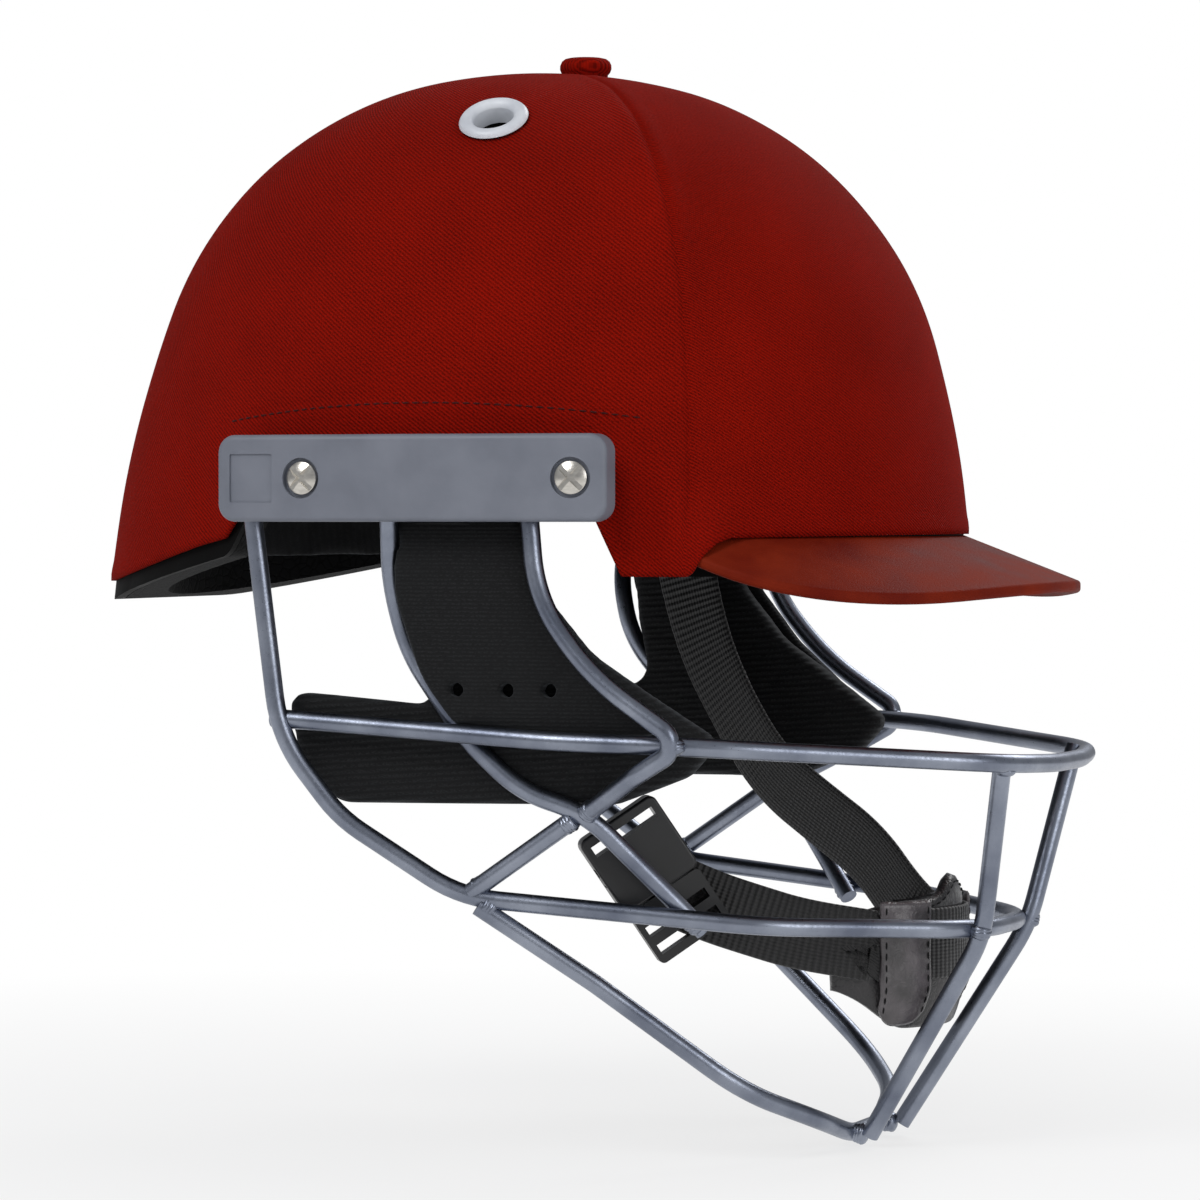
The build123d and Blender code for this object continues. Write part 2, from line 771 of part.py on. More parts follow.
def cup_tangent_angle():
    # Where the straight strap meets the cup's arc, as an angle about the arc's centre.
    dx = strap_knee_x - cup_centre_x
    reach = hypot(dx, strap_knee_y)
    return atan2(strap_knee_y, dx) - acos(cup_band_radius / reach)


def cup_point(radius, angle):
    return (cup_centre_x + radius * cos(angle), radius * sin(angle))


def strap_wall(leg_only):
    # The strap seen from above, pushed up and down: straight runs, a knee and the arc.
    angle = cup_tangent_angle()
    touch = cup_point(cup_band_radius, angle)
    back_x = anchor_x - anchor_head_diameter
    leg = FilletPolyline((back_x, anchor_y), (strap_flat_x, anchor_y),
                         (strap_knee_x, strap_knee_y), touch,
                         radius=[strap_flat_radius, strap_knee_radius])
    if leg_only:
        path = Wire(leg.edges())
    else:
        arc = ThreePointArc(touch, (cup_centre_x + cup_band_radius, 0), (touch[0], -touch[1]))
        path = Wire(leg.edges() + arc.edges() + mirror(leg, Plane.XZ).edges())
    tangent = path % 0
    across = (-tangent.Y, tangent.X, 0)
    start = Plane(origin=path @ 0, x_dir=across, z_dir=tangent)
    return sweep(start * Rectangle(webbing_thickness, 2 * strap_drop + 2 * anchor_z), path=path)


def strap_band(shares, bend_shares):
    # The strap seen from the side: its full width along a bent centre line.
    points = [(x * strap_reach, z * strap_drop) for x, z in shares]
    line = FilletPolyline(*points, radius=[s * strap_reach for s in bend_shares])
    return extrude(Plane.XZ * trace(line, webbing_width), amount=far, both=True)


def left_half():
    return Pos(0, far / 2, 0) * Box(2 * far, far, 2 * far)


def anchor_bore(radius):
    span = shell_half_width
    return Pos(anchor_x, -(anchor_y + span / 2 - anchor_head_diameter / 2), anchor_z) * Rot(
        90, 0, 0) * Cylinder(radius, span)


def anchor_holes():
    hole = anchor_bore(anchor_pin_diameter / 2 + hole_clearance)
    return hole + other_side(hole)


def anchor():
    # A flat-headed rivet through the strap and the liner, up to the shell's inner wall.
    reach = wall_y(liner_depth, anchor_x, anchor_z + anchor_head_diameter / 2)
    inner_y = anchor_y - webbing_thickness / 2 - layer_gap - anchor_head_height
    start = Pos(anchor_x, -inner_y, anchor_z) * Rot(90, 0, 0)
    head = Pos(0, 0, anchor_head_height / 2) * Cylinder(anchor_head_diameter / 2,
                                                        anchor_head_height)
    length = reach - inner_y
    pin = Pos(0, 0, length / 2) * Cylinder(anchor_pin_diameter / 2, length)
    return start * lone(head + pin)


def strap_hole():
    return anchor_bore(anchor_pin_diameter / 2 + hole_clearance)


def chin_strap():
    wall = strap_wall(False)
    left = strap_band(left_strap_shares, left_strap_bend_shares) & left_half()
    right = strap_band(cup_strap_shares, cup_strap_bend_shares) & other_side(left_half())
    piece = (wall & left) + (wall & right)
    return lone(piece - other_side(strap_hole()))


def right_strap():
    wall = strap_wall(True)
    piece = other_side(wall) & strap_band(right_strap_shares, right_strap_bend_shares)
    return lone(piece - strap_hole())


def cup_profile(radius):
    # Half section of the bowl's outer face: straight behind the strap, curled above and below.
    half_band = cup_band_height / 2
    low = half_band + cup_lower_height
    high = half_band + cup_upper_height
    low_in = cup_lower_height ** 2 / (2 * cup_curl_radius)
    high_in = cup_upper_height ** 2 / (2 * cup_curl_radius)
    return (radius, half_band, low, high, low_in, high_in)


def cup_shell():
    outer = cup_band_radius - webbing_thickness / 2 - cup_gap
    r, half_band, low, high, low_in, high_in = cup_profile(outer)
    inner = r - cup_wall
    face = Polyline((r, -half_band), (r, half_band))
    top_curl = ThreePointArc((r, half_band), (r - high_in / 4, (half_band + high) / 2),
                             (r - high_in, high))
    top_edge = Line((r - high_in, high), (inner - high_in, high))
    top_inner = ThreePointArc((inner - high_in, high), (inner - high_in / 4,
                                                        (half_band + high) / 2),
                              (inner, half_band))
    back = Line((inner, half_band), (inner, -half_band))
    low_inner = ThreePointArc((inner, -half_band), (inner - low_in / 4, -(half_band + low) / 2),
                              (inner - low_in, -low))
    low_edge = Line((inner - low_in, -low), (r - low_in, -low))
    low_curl = ThreePointArc((r - low_in, -low), (r - low_in / 4, -(half_band + low) / 2),
                             (r, -half_band))
    section = make_face(Plane.XZ * (face + top_curl + top_edge + top_inner + back + low_inner
                                    + low_edge + low_curl))
    bowl = revolve(Rot(0, 0, -cup_half_angle) * section, Axis.Z, 2 * cup_half_angle)
    soft = bowl.edges().filter_by(lambda e: abs((e @ 0.5).Z - high) < weld_gap
                                  or abs((e @ 0.5).Z + low) < weld_gap)
    bowl = fillet(soft.filter_by(lambda e: e.length > cup_wall * 2), cup_wall / 3)
    return Pos(cup_centre_x, 0, cup_band_z) * bowl


def cup_sleeve(side):
    # A flat loop over the strap, closed above and below it against the bowl.
    inner = cup_band_radius + webbing_thickness / 2 + sleeve_clearance
    outer = inner + sleeve_wall
    seat = cup_band_radius - webbing_thickness / 2 - cup_gap + weld_gap
    half_hole = webbing_width / 2 + sleeve_clearance
    half_height = half_hole + sleeve_wall
    section = make_face(Plane.XZ * Polyline(
        (seat, half_height), (outer, half_height), (outer, -half_height), (seat, -half_height),
        (seat, -half_hole), (inner, -half_hole), (inner, half_hole), (seat, half_hole),
        (seat, half_height)))
    span = sleeve_end_angle - sleeve_start_angle
    ring = revolve(Rot(0, 0, sleeve_start_angle) * section, Axis.Z, span)
    piece = Pos(cup_centre_x, 0, cup_band_z) * ring
    return piece if side > 0 else other_side(piece)


# Buckle

def buckle_frame():
    # Local X runs across the buckle, Y down its axis, Z outward from the wearer's cheek.
    angle = cup_tangent_angle()
    touch = cup_point(cup_band_radius, angle)
    run = Vector(touch[0] - strap_knee_x, strap_knee_y - touch[1], 0).normalized()
    outward = Vector(run.Y, -run.X, 0)
    pitch = radians(buckle_pitch)
    down = run * cos(pitch) - Vector(0, 0, 1) * sin(pitch)
    across = down.cross(outward)
    slope = (strap_knee_y - touch[1]) / (touch[0] - strap_knee_x)
    wall_y = strap_knee_y - (buckle_top_x - strap_knee_x) * slope
    lift = webbing_thickness / 2 + buckle_stand_off + buckle_thickness / 2
    origin = Vector(buckle_top_x, -wall_y, buckle_top_z) + outward * lift
    return Plane(origin=origin, x_dir=across, z_dir=outward)


def block(x_size, y_low, y_high, z_size):
    return Pos(0, (y_low + y_high) / 2, 0) * Box(x_size, y_high - y_low, z_size)


def receptacle():
    body = block(buckle_width, 0, receptacle_length, buckle_thickness)
    body = fillet(body.edges().filter_by(Axis.Z), buckle_edge * 3)
    body = fillet(body.edges().group_by(Axis.Z)[-1], buckle_edge)
    hollow_start = receptacle_bar + receptacle_slot + receptacle_wall
    body = body - block(buckle_width - 2 * receptacle_wall, hollow_start,
                        receptacle_length + receptacle_bar,
                        buckle_thickness - 2 * receptacle_wall)
    slot = block(webbing_width + hole_clearance, receptacle_bar,
                 receptacle_bar + receptacle_slot, buckle_thickness * 2)
    windows = block(buckle_width * 2, window_start, window_start + window_length,
                    buckle_thickness - 2 * receptacle_wall)
    return lone(body - slot - windows)


def insert():
    start = receptacle_length + insert_gap
    body = block(buckle_width - 2 * buckle_edge, start, start + insert_length,
                 insert_body_thickness)
    body = fillet(body.edges().filter_by(Axis.Z), buckle_edge * 2)
    slot_start = start + insert_length / 3
    for i in range(2):
        low = slot_start + i * (insert_slot + insert_bar)
        body = body - block(webbing_width, low, low + insert_slot, buckle_thickness * 2)
    tongue = block(tongue_width, start - tongue_length, start + insert_bar / 2, arm_thickness / 2)
    return lone(body + tongue)


def release_arm(side):
    # A spring leg with a barb: it fills the side window and is pressed inward to let go.
    start = receptacle_length + insert_gap - arm_gap
    tip = start - arm_length
    outer = buckle_width / 2 - receptacle_wall - hole_clearance
    inner = outer - arm_width
    shoulder = window_start + window_length - hole_clearance - arm_gap
    reach = outer + receptacle_wall + hole_clearance
    outline = Polyline((inner, start), (outer, start), (outer, shoulder), (reach, shoulder),
                       (reach, shoulder - barb_length / 2), (outer, window_start + arm_gap),
                       (inner, tip + arm_gap), (inner, start))
    leg = extrude(make_face(outline), amount=arm_thickness / 2, both=True)
    thin = buckle_thickness - 2 * receptacle_wall - 2 * hole_clearance
    leg = leg & Box(far, far, thin)
    return leg if side > 0 else mirror(leg, Plane.YZ)


# The assembly

def build():
    save("cloth_cover", cloth_cover(rim_knife(0)))
    knife = rim_knife(rear_lip)
    save("shell_moulding", shell_moulding(knife))
    save("impact_liner", impact_liner(knife))
    save("peak", peak())
    save("top_button", button())
    save("eyelet_right", eyelet())
    save("eyelet_left", other_side(eyelet()))

    lining = layer(comfort_depth, comfort_thickness)
    save("front_sweatband", front_sweatband(lining))
    save("rear_pad", rear_pad(lining))
    save("crown_pad", crown_pad(lining))
    save("side_pad_right", side_pad(lining))
    save("side_pad_left", other_side(side_pad(lining)))

    wires = grille()
    for name in ("brow_bar", "face_loop", "chin_bar"):
        save(name, wires[name])
    for name in ("middle_stay", "front_stay", "brace", "front_upright"):
        save(name + "_right", wires[name])
        save(name + "_left", other_side(wires[name]))

    fat_wires = [middle_stay(hole_clearance), front_stay(hole_clearance),
                 face_loop(hole_clearance), brow_bar(hole_clearance)]
    cover = side_cover(fat_wires[0] + fat_wires[1] + fat_wires[2])
    pieces = {"side_cover": cover, "side_strip": side_strip(), "side_packer": side_packer(),
              "cover_screws": side_screws(), "tee_nuts": side_tee_nuts(),
              "ear_panel": ear_panel(fat_wires), "jaw_pad": jaw_pad(fat_wires),
              "strap_anchor": anchor()}
    for name, piece in pieces.items():
        save(name + "_right", piece)
        save(name + "_left", other_side(piece))

    save("chin_strap", chin_strap())
    save("buckle_strap", right_strap())
    save("chin_cup", cup_shell())
    save("cup_sleeve_left", cup_sleeve(1))
    save("cup_sleeve_right", cup_sleeve(-1))
    frame = buckle_frame()
    save("buckle_receptacle", frame * receptacle())
    save("buckle_insert", frame * insert())
    save("release_arm_rear", frame * release_arm(1))
    save("release_arm_front", frame * release_arm(-1))


build()
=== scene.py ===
import math
import bmesh
import bpy
from mathutils import Matrix, Vector, noise
from mathutils.bvhtree import BVHTree


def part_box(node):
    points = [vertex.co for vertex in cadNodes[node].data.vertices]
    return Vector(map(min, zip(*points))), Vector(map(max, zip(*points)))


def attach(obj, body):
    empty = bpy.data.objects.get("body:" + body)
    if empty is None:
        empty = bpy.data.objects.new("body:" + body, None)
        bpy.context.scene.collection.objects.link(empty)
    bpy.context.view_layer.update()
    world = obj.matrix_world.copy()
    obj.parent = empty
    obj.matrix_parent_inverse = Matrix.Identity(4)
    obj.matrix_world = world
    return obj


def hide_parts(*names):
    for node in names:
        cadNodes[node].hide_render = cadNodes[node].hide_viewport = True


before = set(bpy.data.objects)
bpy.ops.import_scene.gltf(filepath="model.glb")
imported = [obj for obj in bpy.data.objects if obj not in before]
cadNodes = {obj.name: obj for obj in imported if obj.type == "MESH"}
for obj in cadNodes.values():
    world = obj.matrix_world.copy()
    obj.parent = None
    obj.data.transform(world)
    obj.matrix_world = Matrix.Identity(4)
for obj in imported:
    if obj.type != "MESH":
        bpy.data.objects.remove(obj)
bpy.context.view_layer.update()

# Cricket helmet, right side towards the camera. Sizes are written in millimetres and
# turned to metres by mm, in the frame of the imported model.
mm = 0.001
sides = {"right": -1, "left": 1}


def report(stage):
    print("helmet:", stage, flush=True)


# Shader helpers

def hexColour(code):
    # An sRGB colour as written in paint programs, turned to linear.
    values = [int(code[i:i + 2], 16) / 255 for i in (0, 2, 4)]
    linear = [v / 12.92 if v <= 0.04045 else ((v + 0.055) / 1.055) ** 2.4 for v in values]
    return (*linear, 1.0)


def addNode(tree, kind, settings=None, links=None):
    # A node with its settings and inputs. A setting is an attribute or else a socket, and a
    # link comes from a socket or from a node's first output.
    node = tree.nodes.new(kind)
    for name, value in (settings or {}).items():
        if isinstance(name, str) and hasattr(node, name):
            setattr(node, name, value)
        else:
            node.inputs[name].default_value = value
    for socket, source in (links or {}).items():
        tree.links.new(getattr(source, "outputs", [source])[0], node.inputs[socket])
    return node


def startMaterial(name, sockets):
    material = bpy.data.materials.new(name)
    material.use_nodes = True
    tree = material.node_tree
    tree.nodes.clear()
    shader = addNode(tree, "ShaderNodeBsdfPrincipled", sockets)
    addNode(tree, "ShaderNodeOutputMaterial", None, {"Surface": shader})
    return material, tree, shader


def waveScale(period):
    # Blender's wave texture repeats every 0.314 / scale metres; the period is in mm.
    return math.pi / 10 / (period * mm)


def grainScale(size):
    # Noise whose features are about this many mm across.
    return 1 / (size * mm)


def objectPlace(tree):
    return addNode(tree, "ShaderNodeTexCoord").outputs["Object"]


def uvPlace(tree):
    return addNode(tree, "ShaderNodeUVMap", {"uv_map": "cut"}).outputs["UV"]


def turned(tree, place, degrees, stretch=(1, 1, 1)):
    spin = tuple(math.radians(d) for d in degrees)
    return addNode(tree, "ShaderNodeMapping", {"Rotation": spin, "Scale": stretch},
                   {"Vector": place})


def sharpen(tree, factor, low, high, toLow=0.0, toHigh=1.0):
    return addNode(tree, "ShaderNodeMapRange", {
        "From Min": low, "From Max": high, "To Min": toLow, "To Max": toHigh}, {"Value": factor})


def dye(tree, shader, factor, first, second):
    # Colours the surface from the first colour to the second as the factor rises.
    mix = addNode(tree, "ShaderNodeMix", {
        "data_type": "RGBA", 6: hexColour(first), 7: hexColour(second)}, {0: factor})
    tree.links.new(mix.outputs[2], shader.inputs["Base Color"])


def polish(tree, shader, factor, low, high, smoothest, roughest):
    # Sets the roughness between two values as the factor goes from low to high.
    spread = sharpen(tree, factor, low, high, smoothest, roughest)
    tree.links.new(spread.outputs["Result"], shader.inputs["Roughness"])


def bump(tree, shader, height, depth, strength=1.0, after=None):
    # Raises the surface by depth in mm where height is 1. Bumps can follow one another.
    links = {"Height": height}
    if after:
        links["Normal"] = after
    node = addNode(tree, "ShaderNodeBump", {"Distance": depth * mm, "Strength": strength}, links)
    tree.links.new(node.outputs["Normal"], shader.inputs["Normal"])
    return node


# Materials

def twillMaterial():
    # Brushed cotton twill, piece dyed: a matt cloth with fine slanting ribs, a dusty sheen
    # and slight dye clouds. The ribs are 0.9 mm apart, a little coarser than the real ones.
    material, tree, shader = startMaterial("Brushed cotton twill", {
        "Roughness": 0.92, "Sheen Weight": 0.06, "Sheen Roughness": 0.4,
        "Sheen Tint": hexColour("c23a1c"), "IOR": 1.46, "Specular IOR Level": 0.08})
    place = uvPlace(tree)
    ribs = addNode(tree, "ShaderNodeTexWave", {
        "wave_type": "BANDS", "bands_direction": "X", "Scale": waveScale(0.9),
        "Distortion": 1.4, "Detail": 2.0, "Detail Scale": 3.0},
        {"Vector": turned(tree, place, (0, 0, 58))}).outputs["Fac"]
    fuzz = addNode(tree, "ShaderNodeTexNoise", {"Scale": grainScale(0.55), "Detail": 3.0},
                   {"Vector": place})
    clouds = addNode(tree, "ShaderNodeTexNoise", {"Scale": grainScale(26), "Detail": 4.0},
                     {"Vector": objectPlace(tree)})
    blend = addNode(tree, "ShaderNodeMath", {"operation": "MULTIPLY_ADD", 1: 0.45},
                    {0: ribs, 2: fuzz})
    cloudy = addNode(tree, "ShaderNodeMath", {"operation": "MULTIPLY_ADD", 1: 0.28},
                     {0: clouds, 2: blend})
    dye(tree, shader, sharpen(tree, cloudy, 0.5, 1.2), "560500", "9c1202")
    bump(tree, shader, fuzz, 0.18, 0.7, bump(tree, shader, ribs, 0.2, 0.8))
    return material


def coatedPeakMaterial():
    # Polyurethane coated fabric pressed over a moulded peak: satin, faint leather grain,
    # with browner patches.
    material, tree, shader = startMaterial("Polyurethane coated peak", {
        "Roughness": 0.6, "IOR": 1.45, "Specular IOR Level": 0.08})
    place = objectPlace(tree)
    grain = addNode(tree, "ShaderNodeTexVoronoi", {
        "feature": "DISTANCE_TO_EDGE", "Scale": grainScale(1.5)}, {"Vector": place})
    clouds = addNode(tree, "ShaderNodeTexNoise", {"Scale": grainScale(18), "Detail": 5.0},
                     {"Vector": place})
    dye(tree, shader, sharpen(tree, clouds, 0.3, 0.7), "611206", "80260f")
    polish(tree, shader, clouds, 0.3, 0.7, 0.52, 0.68)
    bump(tree, shader, sharpen(tree, grain, 0.0, 0.12), 0.05, 0.5)
    return material


def mouldedPlastic(name, dark, light, roughness, pit=0.9, depth=0.05, shine=0.5):
    # Injection moulded plastic with a spark-eroded surface: fine pits, even colour, and
    # patches that are slightly more polished.
    material, tree, shader = startMaterial(name, {
        "Roughness": roughness, "IOR": 1.53, "Specular IOR Level": shine})
    place = objectPlace(tree)
    pits = addNode(tree, "ShaderNodeTexNoise", {"Scale": grainScale(pit), "Detail": 4.0},
                   {"Vector": place})
    wear = addNode(tree, "ShaderNodeTexNoise", {"Scale": grainScale(14), "Detail": 6.0},
                   {"Vector": place})
    dye(tree, shader, sharpen(tree, wear, 0.35, 0.7), dark, light)
    polish(tree, shader, wear, 0.3, 0.75, roughness - 0.08, roughness + 0.1)
    bump(tree, shader, pits, depth, 0.5)
    return material


def drawnTitanium():
    # Drawn titanium wire, vapour blasted and heat tinted: blue-grey metal with a soft
    # highlight, fine specks and patches of darker tint.
    material, tree, shader = startMaterial("Heat tinted titanium wire", {
        "Metallic": 1.0, "Roughness": 0.34})
    place = objectPlace(tree)
    tint = addNode(tree, "ShaderNodeTexNoise", {"Scale": grainScale(22), "Detail": 5.0},
                   {"Vector": place})
    speck = addNode(tree, "ShaderNodeTexNoise", {"Scale": grainScale(0.7), "Detail": 3.0},
                    {"Vector": place})
    dye(tree, shader, sharpen(tree, tint, 0.3, 0.7), "6b7180", "9ba1ae")
    polish(tree, shader, speck, 0.3, 0.7, 0.27, 0.42)
    bump(tree, shader, speck, 0.03, 0.4)
    return material


def plainMetal(name, dark, light, roughness):
    # Tumbled or pressed metal: bright, with fine marks that run across the piece.
    material, tree, shader = startMaterial(name, {"Metallic": 1.0, "Roughness": roughness})
    marks = addNode(tree, "ShaderNodeTexNoise", {"Scale": grainScale(0.8), "Detail": 4.0},
                    {"Vector": turned(tree, objectPlace(tree), (0, 0, 0), (0.3, 1, 1))})
    dye(tree, shader, marks, dark, light)
    bump(tree, shader, marks, 0.04, 0.5)
    return material


def knitMaterial(name, dark, light, period, ribTurn, depth, sheen):
    # Polyester knit, or thread: rows of small loops, dull with a pale sheen at the edges.
    material, tree, shader = startMaterial(name, {
        "Roughness": 0.88, "Sheen Weight": sheen, "Sheen Roughness": 0.45,
        "Sheen Tint": hexColour("9aa0a6"), "IOR": 1.46, "Specular IOR Level": 0.3})
    place = objectPlace(tree)
    rows = addNode(tree, "ShaderNodeTexWave", {
        "wave_type": "BANDS", "bands_direction": "Z", "Scale": waveScale(period),
        "Distortion": 0.8, "Detail": 2.0, "Detail Scale": 2.0},
        {"Vector": turned(tree, place, (0, ribTurn, 0))}).outputs["Fac"]
    loops = addNode(tree, "ShaderNodeTexVoronoi", {"Scale": grainScale(0.7)},
                    {"Vector": turned(tree, place, (0, ribTurn, 0), (1, 1, 1.6))})
    both = addNode(tree, "ShaderNodeMath", {"operation": "MULTIPLY"},
                   {0: rows, 1: sharpen(tree, loops, 0.7, 0.1)})
    dye(tree, shader, both, dark, light)
    bump(tree, shader, loops, 0.08, 0.5, bump(tree, shader, rows, depth, 0.9))
    return material


def webbingMaterial():
    # Woven polypropylene webbing: cords across the band 1.9 mm apart, slightly glossy
    # filaments. The pattern follows the band's own length and width.
    material, tree, shader = startMaterial("Woven polypropylene webbing", {
        "Roughness": 0.55, "Sheen Weight": 0.2, "IOR": 1.49, "Specular IOR Level": 0.45})
    place = uvPlace(tree)
    cords, threads = [addNode(tree, "ShaderNodeTexWave", {
        "wave_type": "BANDS", "bands_direction": way, "Scale": waveScale(period),
        "Distortion": bend, "Detail": 1.0}, {"Vector": place}).outputs["Fac"]
        for way, period, bend in (("X", 1.9, 0.4), ("Y", 1.0, 0.6))]
    weave = addNode(tree, "ShaderNodeMath", {"operation": "MULTIPLY_ADD", 1: 0.35},
                    {0: threads, 2: cords})
    dye(tree, shader, sharpen(tree, weave, 0.1, 1.3), "060606", "262526")
    bump(tree, shader, weave, 0.35, 0.9)
    return material


def leatheretteMaterial():
    # Polyurethane leatherette: crinkled grain, a wet gloss on the high spots.
    material, tree, shader = startMaterial("Polyurethane leatherette", {
        "Roughness": 0.4, "Coat Weight": 0.3, "Coat Roughness": 0.3, "IOR": 1.5})
    place = objectPlace(tree)
    cells = addNode(tree, "ShaderNodeTexVoronoi", {
        "feature": "DISTANCE_TO_EDGE", "Scale": grainScale(1.6)}, {"Vector": place})
    crinkle = addNode(tree, "ShaderNodeTexNoise", {
        "Scale": grainScale(3.5), "Detail": 6.0, "Distortion": 1.0}, {"Vector": place})
    dye(tree, shader, sharpen(tree, crinkle, 0.3, 0.7), "121113", "2b282a")
    polish(tree, shader, crinkle, 0.35, 0.65, 0.28, 0.52)
    normal = bump(tree, shader, crinkle, 0.35, 0.6)
    bump(tree, shader, sharpen(tree, cells, 0.0, 0.2), 0.12, 0.6, normal)
    return material


def highlitLeatheretteMaterial():
    # The same leatherette where it is pulled tight over the sleeves: glossier, and painted
    # paler as a highlight, in patches, with crinkles that catch the light.
    material, tree, shader = startMaterial("Polyurethane leatherette, painted highlight", {
        "Roughness": 0.32, "Coat Weight": 0.5, "Coat Roughness": 0.22, "IOR": 1.5})
    place = objectPlace(tree)
    crinkle = addNode(tree, "ShaderNodeTexNoise", {
        "Scale": grainScale(2.6), "Detail": 7.0, "Distortion": 1.5}, {"Vector": place})
    patches = addNode(tree, "ShaderNodeTexNoise", {"Scale": grainScale(9), "Detail": 3.0},
                      {"Vector": place})
    # Painted highlight: these colours are paler than the cup's own leatherette.
    dye(tree, shader, sharpen(tree, patches, 0.3, 0.65), "2b2829", "5d575a")
    bump(tree, shader, crinkle, 0.6, 0.8)
    return material


def beadFoamMaterial():
    # Expanded polystyrene: pressed beads 3 mm across with fine seams between them.
    material, tree, shader = startMaterial("Expanded polystyrene", {
        "Roughness": 0.75, "IOR": 1.4, "Specular IOR Level": 0.1})
    beads = addNode(tree, "ShaderNodeTexVoronoi", {
        "feature": "DISTANCE_TO_EDGE", "Scale": grainScale(3)}, {"Vector": objectPlace(tree)})
    seam = sharpen(tree, beads, 0.0, 0.12)
    dye(tree, shader, seam, "060606", "101011")
    bump(tree, shader, seam, 0.15, 0.7)
    return material


def makeMaterials():
    return {
        "twill": twillMaterial(),
        "peak": coatedPeakMaterial(),
        "cover": mouldedPlastic("Glass filled nylon, grey", "70747f", "7c808b", 0.5),
        "shell": mouldedPlastic("Moulded ABS, black", "030303", "060606", 0.7, shine=0.1),
        "eyelet": mouldedPlastic("Acetal, white", "cfd3db", "eceff4", 0.38, 2.0, 0.02),
        "buckle": mouldedPlastic("Moulded acetal, black", "101011", "1c1c1e", 0.36, 0.7, 0.04),
        "packer": mouldedPlastic("Vulcanised rubber, black", "111112", "191919", 0.75),
        "titanium": drawnTitanium(),
        "screw": plainMetal("Tumbled stainless steel", "aaa69f", "e6e2da", 0.28),
        "strip": plainMetal("Pressed titanium sheet", "5a606b", "7a808c", 0.38),
        "knit": knitMaterial("Brushed polyester knit", "121213", "262728", 1.1, 0, 0.12, 0.35),
        "ribKnit": knitMaterial("Ribbed polyester knit", "141415", "2a2b2c", 1.7, 4, 0.25, 0.3),
        "lining": knitMaterial("Brushed lining fabric", "0d0d0e", "1a1a1c", 1.6, 90, 0.15, 0.25),
        "webbing": webbingMaterial(),
        "leatherette": leatheretteMaterial(),
        # The sleeves' leatherette, painted paler as a highlight.
        "highlitLeatherette": highlitLeatheretteMaterial(),
        "foam": beadFoamMaterial(),
        "thread": knitMaterial("Bonded polyester thread, maroon", "3a0704", "5c1108", 0.6, 35,
                               0.05, 0.2),
        "blackThread": knitMaterial("Bonded polyester thread, black", "0c0c0c", "2c2c2e", 0.6, 35,
                                    0.05, 0.2),
    }


# Mesh helpers

def addObject(name, mesh, material, smooth=True):
    piece = bpy.data.objects.new(name, mesh)
    bpy.context.scene.collection.objects.link(piece)
    mesh.materials.clear()
    mesh.materials.append(material)
    if smooth:
        mesh.polygons.foreach_set("use_smooth", [True] * len(mesh.polygons))
    return piece


def tidyNormals(mesh, weld=0.02):
    # Merges points nearer than weld in mm, unless it is 0, and points all faces outwards.
    build = bmesh.new()
    build.from_mesh(mesh)
    if weld:
        bmesh.ops.remove_doubles(build, verts=build.verts, dist=weld * mm)
    bmesh.ops.recalc_face_normals(build, faces=build.faces)
    build.to_mesh(mesh)
    build.free()
    mesh.update()


def meshFrom(name, points, faces, corners=None):
    mesh = bpy.data.meshes.new(name)
    mesh.from_pydata(points, [], faces)
    if corners:
        layer = mesh.uv_layers.new(name="cut")
        layer.data.foreach_set("uv", [value for pair in corners for value in pair])
    mesh.update()
    return mesh


def swell(mesh, lift):
    # Moves every point along its normal by lift(point, normal) in mm. The normals are read
    # before any point moves.
    normals = [vertex.normal.copy() for vertex in mesh.vertices]
    for vertex, normal in zip(mesh.vertices, normals):
        vertex.co += normal * lift(vertex.co, normal) * mm


def mirrored(mesh, name):
    # The other side's copy, with its faces turned the right way again.
    twin = mesh.copy()
    twin.name = name
    twin.transform(Matrix.Diagonal((1, -1, 1, 1)))
    twin.flip_normals()
    return twin


def bakedMesh(piece, name):
    depsgraph = bpy.context.evaluated_depsgraph_get()
    mesh = bpy.data.meshes.new_from_object(piece.evaluated_get(depsgraph))
    mesh.name = name
    return mesh


def cadTree(*names):
    # A search tree of the named nodes' surfaces.
    points, faces = [], []
    for name in names:
        mesh = cadNodes[name].data
        start = len(points)
        points += [v.co.copy() for v in mesh.vertices]
        faces += [[start + i for i in p.vertices] for p in mesh.polygons]
    return BVHTree.FromPolygons(points, faces)


def keepClear(mesh, tree, gap, reach=6.0):
    # Moves points that lie inside, or nearer than the gap to, the tree's surface out of it.
    for vertex in mesh.vertices:
        near, normal, _, distance = tree.find_nearest(vertex.co, reach * mm)
        if near is None:
            continue
        height = (vertex.co - near).dot(normal)
        if height < gap * mm:
            vertex.co = near + normal * gap * mm


def liftOver(mesh, tree, gap):
    # Raises points that lie in or just under the tree's top surface until they are above it.
    for vertex in mesh.vertices:
        above = Vector((vertex.co.x, vertex.co.y, 60 * mm))
        top, _, _, _ = tree.ray_cast(above, Vector((0, 0, -1)))
        if top is not None and vertex.co.z < top.z + gap * mm:
            vertex.co.z = top.z + gap * mm


def smoothStep(value, low, high):
    share = min(max((value - low) / (high - low), 0.0), 1.0)
    return share * share * (3 - 2 * share)


def bell(value, width):
    # 1 in the middle, falling off to nothing about two widths away.
    return math.exp(-(value / width) ** 2)


# The dome: the cloth's outer face as three arcs turned about an upright axis, narrowed to
# the helmet's width, leant and shifted.

dome = {"halfLength": 129.5, "halfWidth": 104.0, "height": 153.5, "crownRadius": 164.5,
        "crownAngle": 12.8, "shoulderRadius": 106.5, "shoulderAngle": 72.4, "lean": 3.1,
        "shift": 1.3}


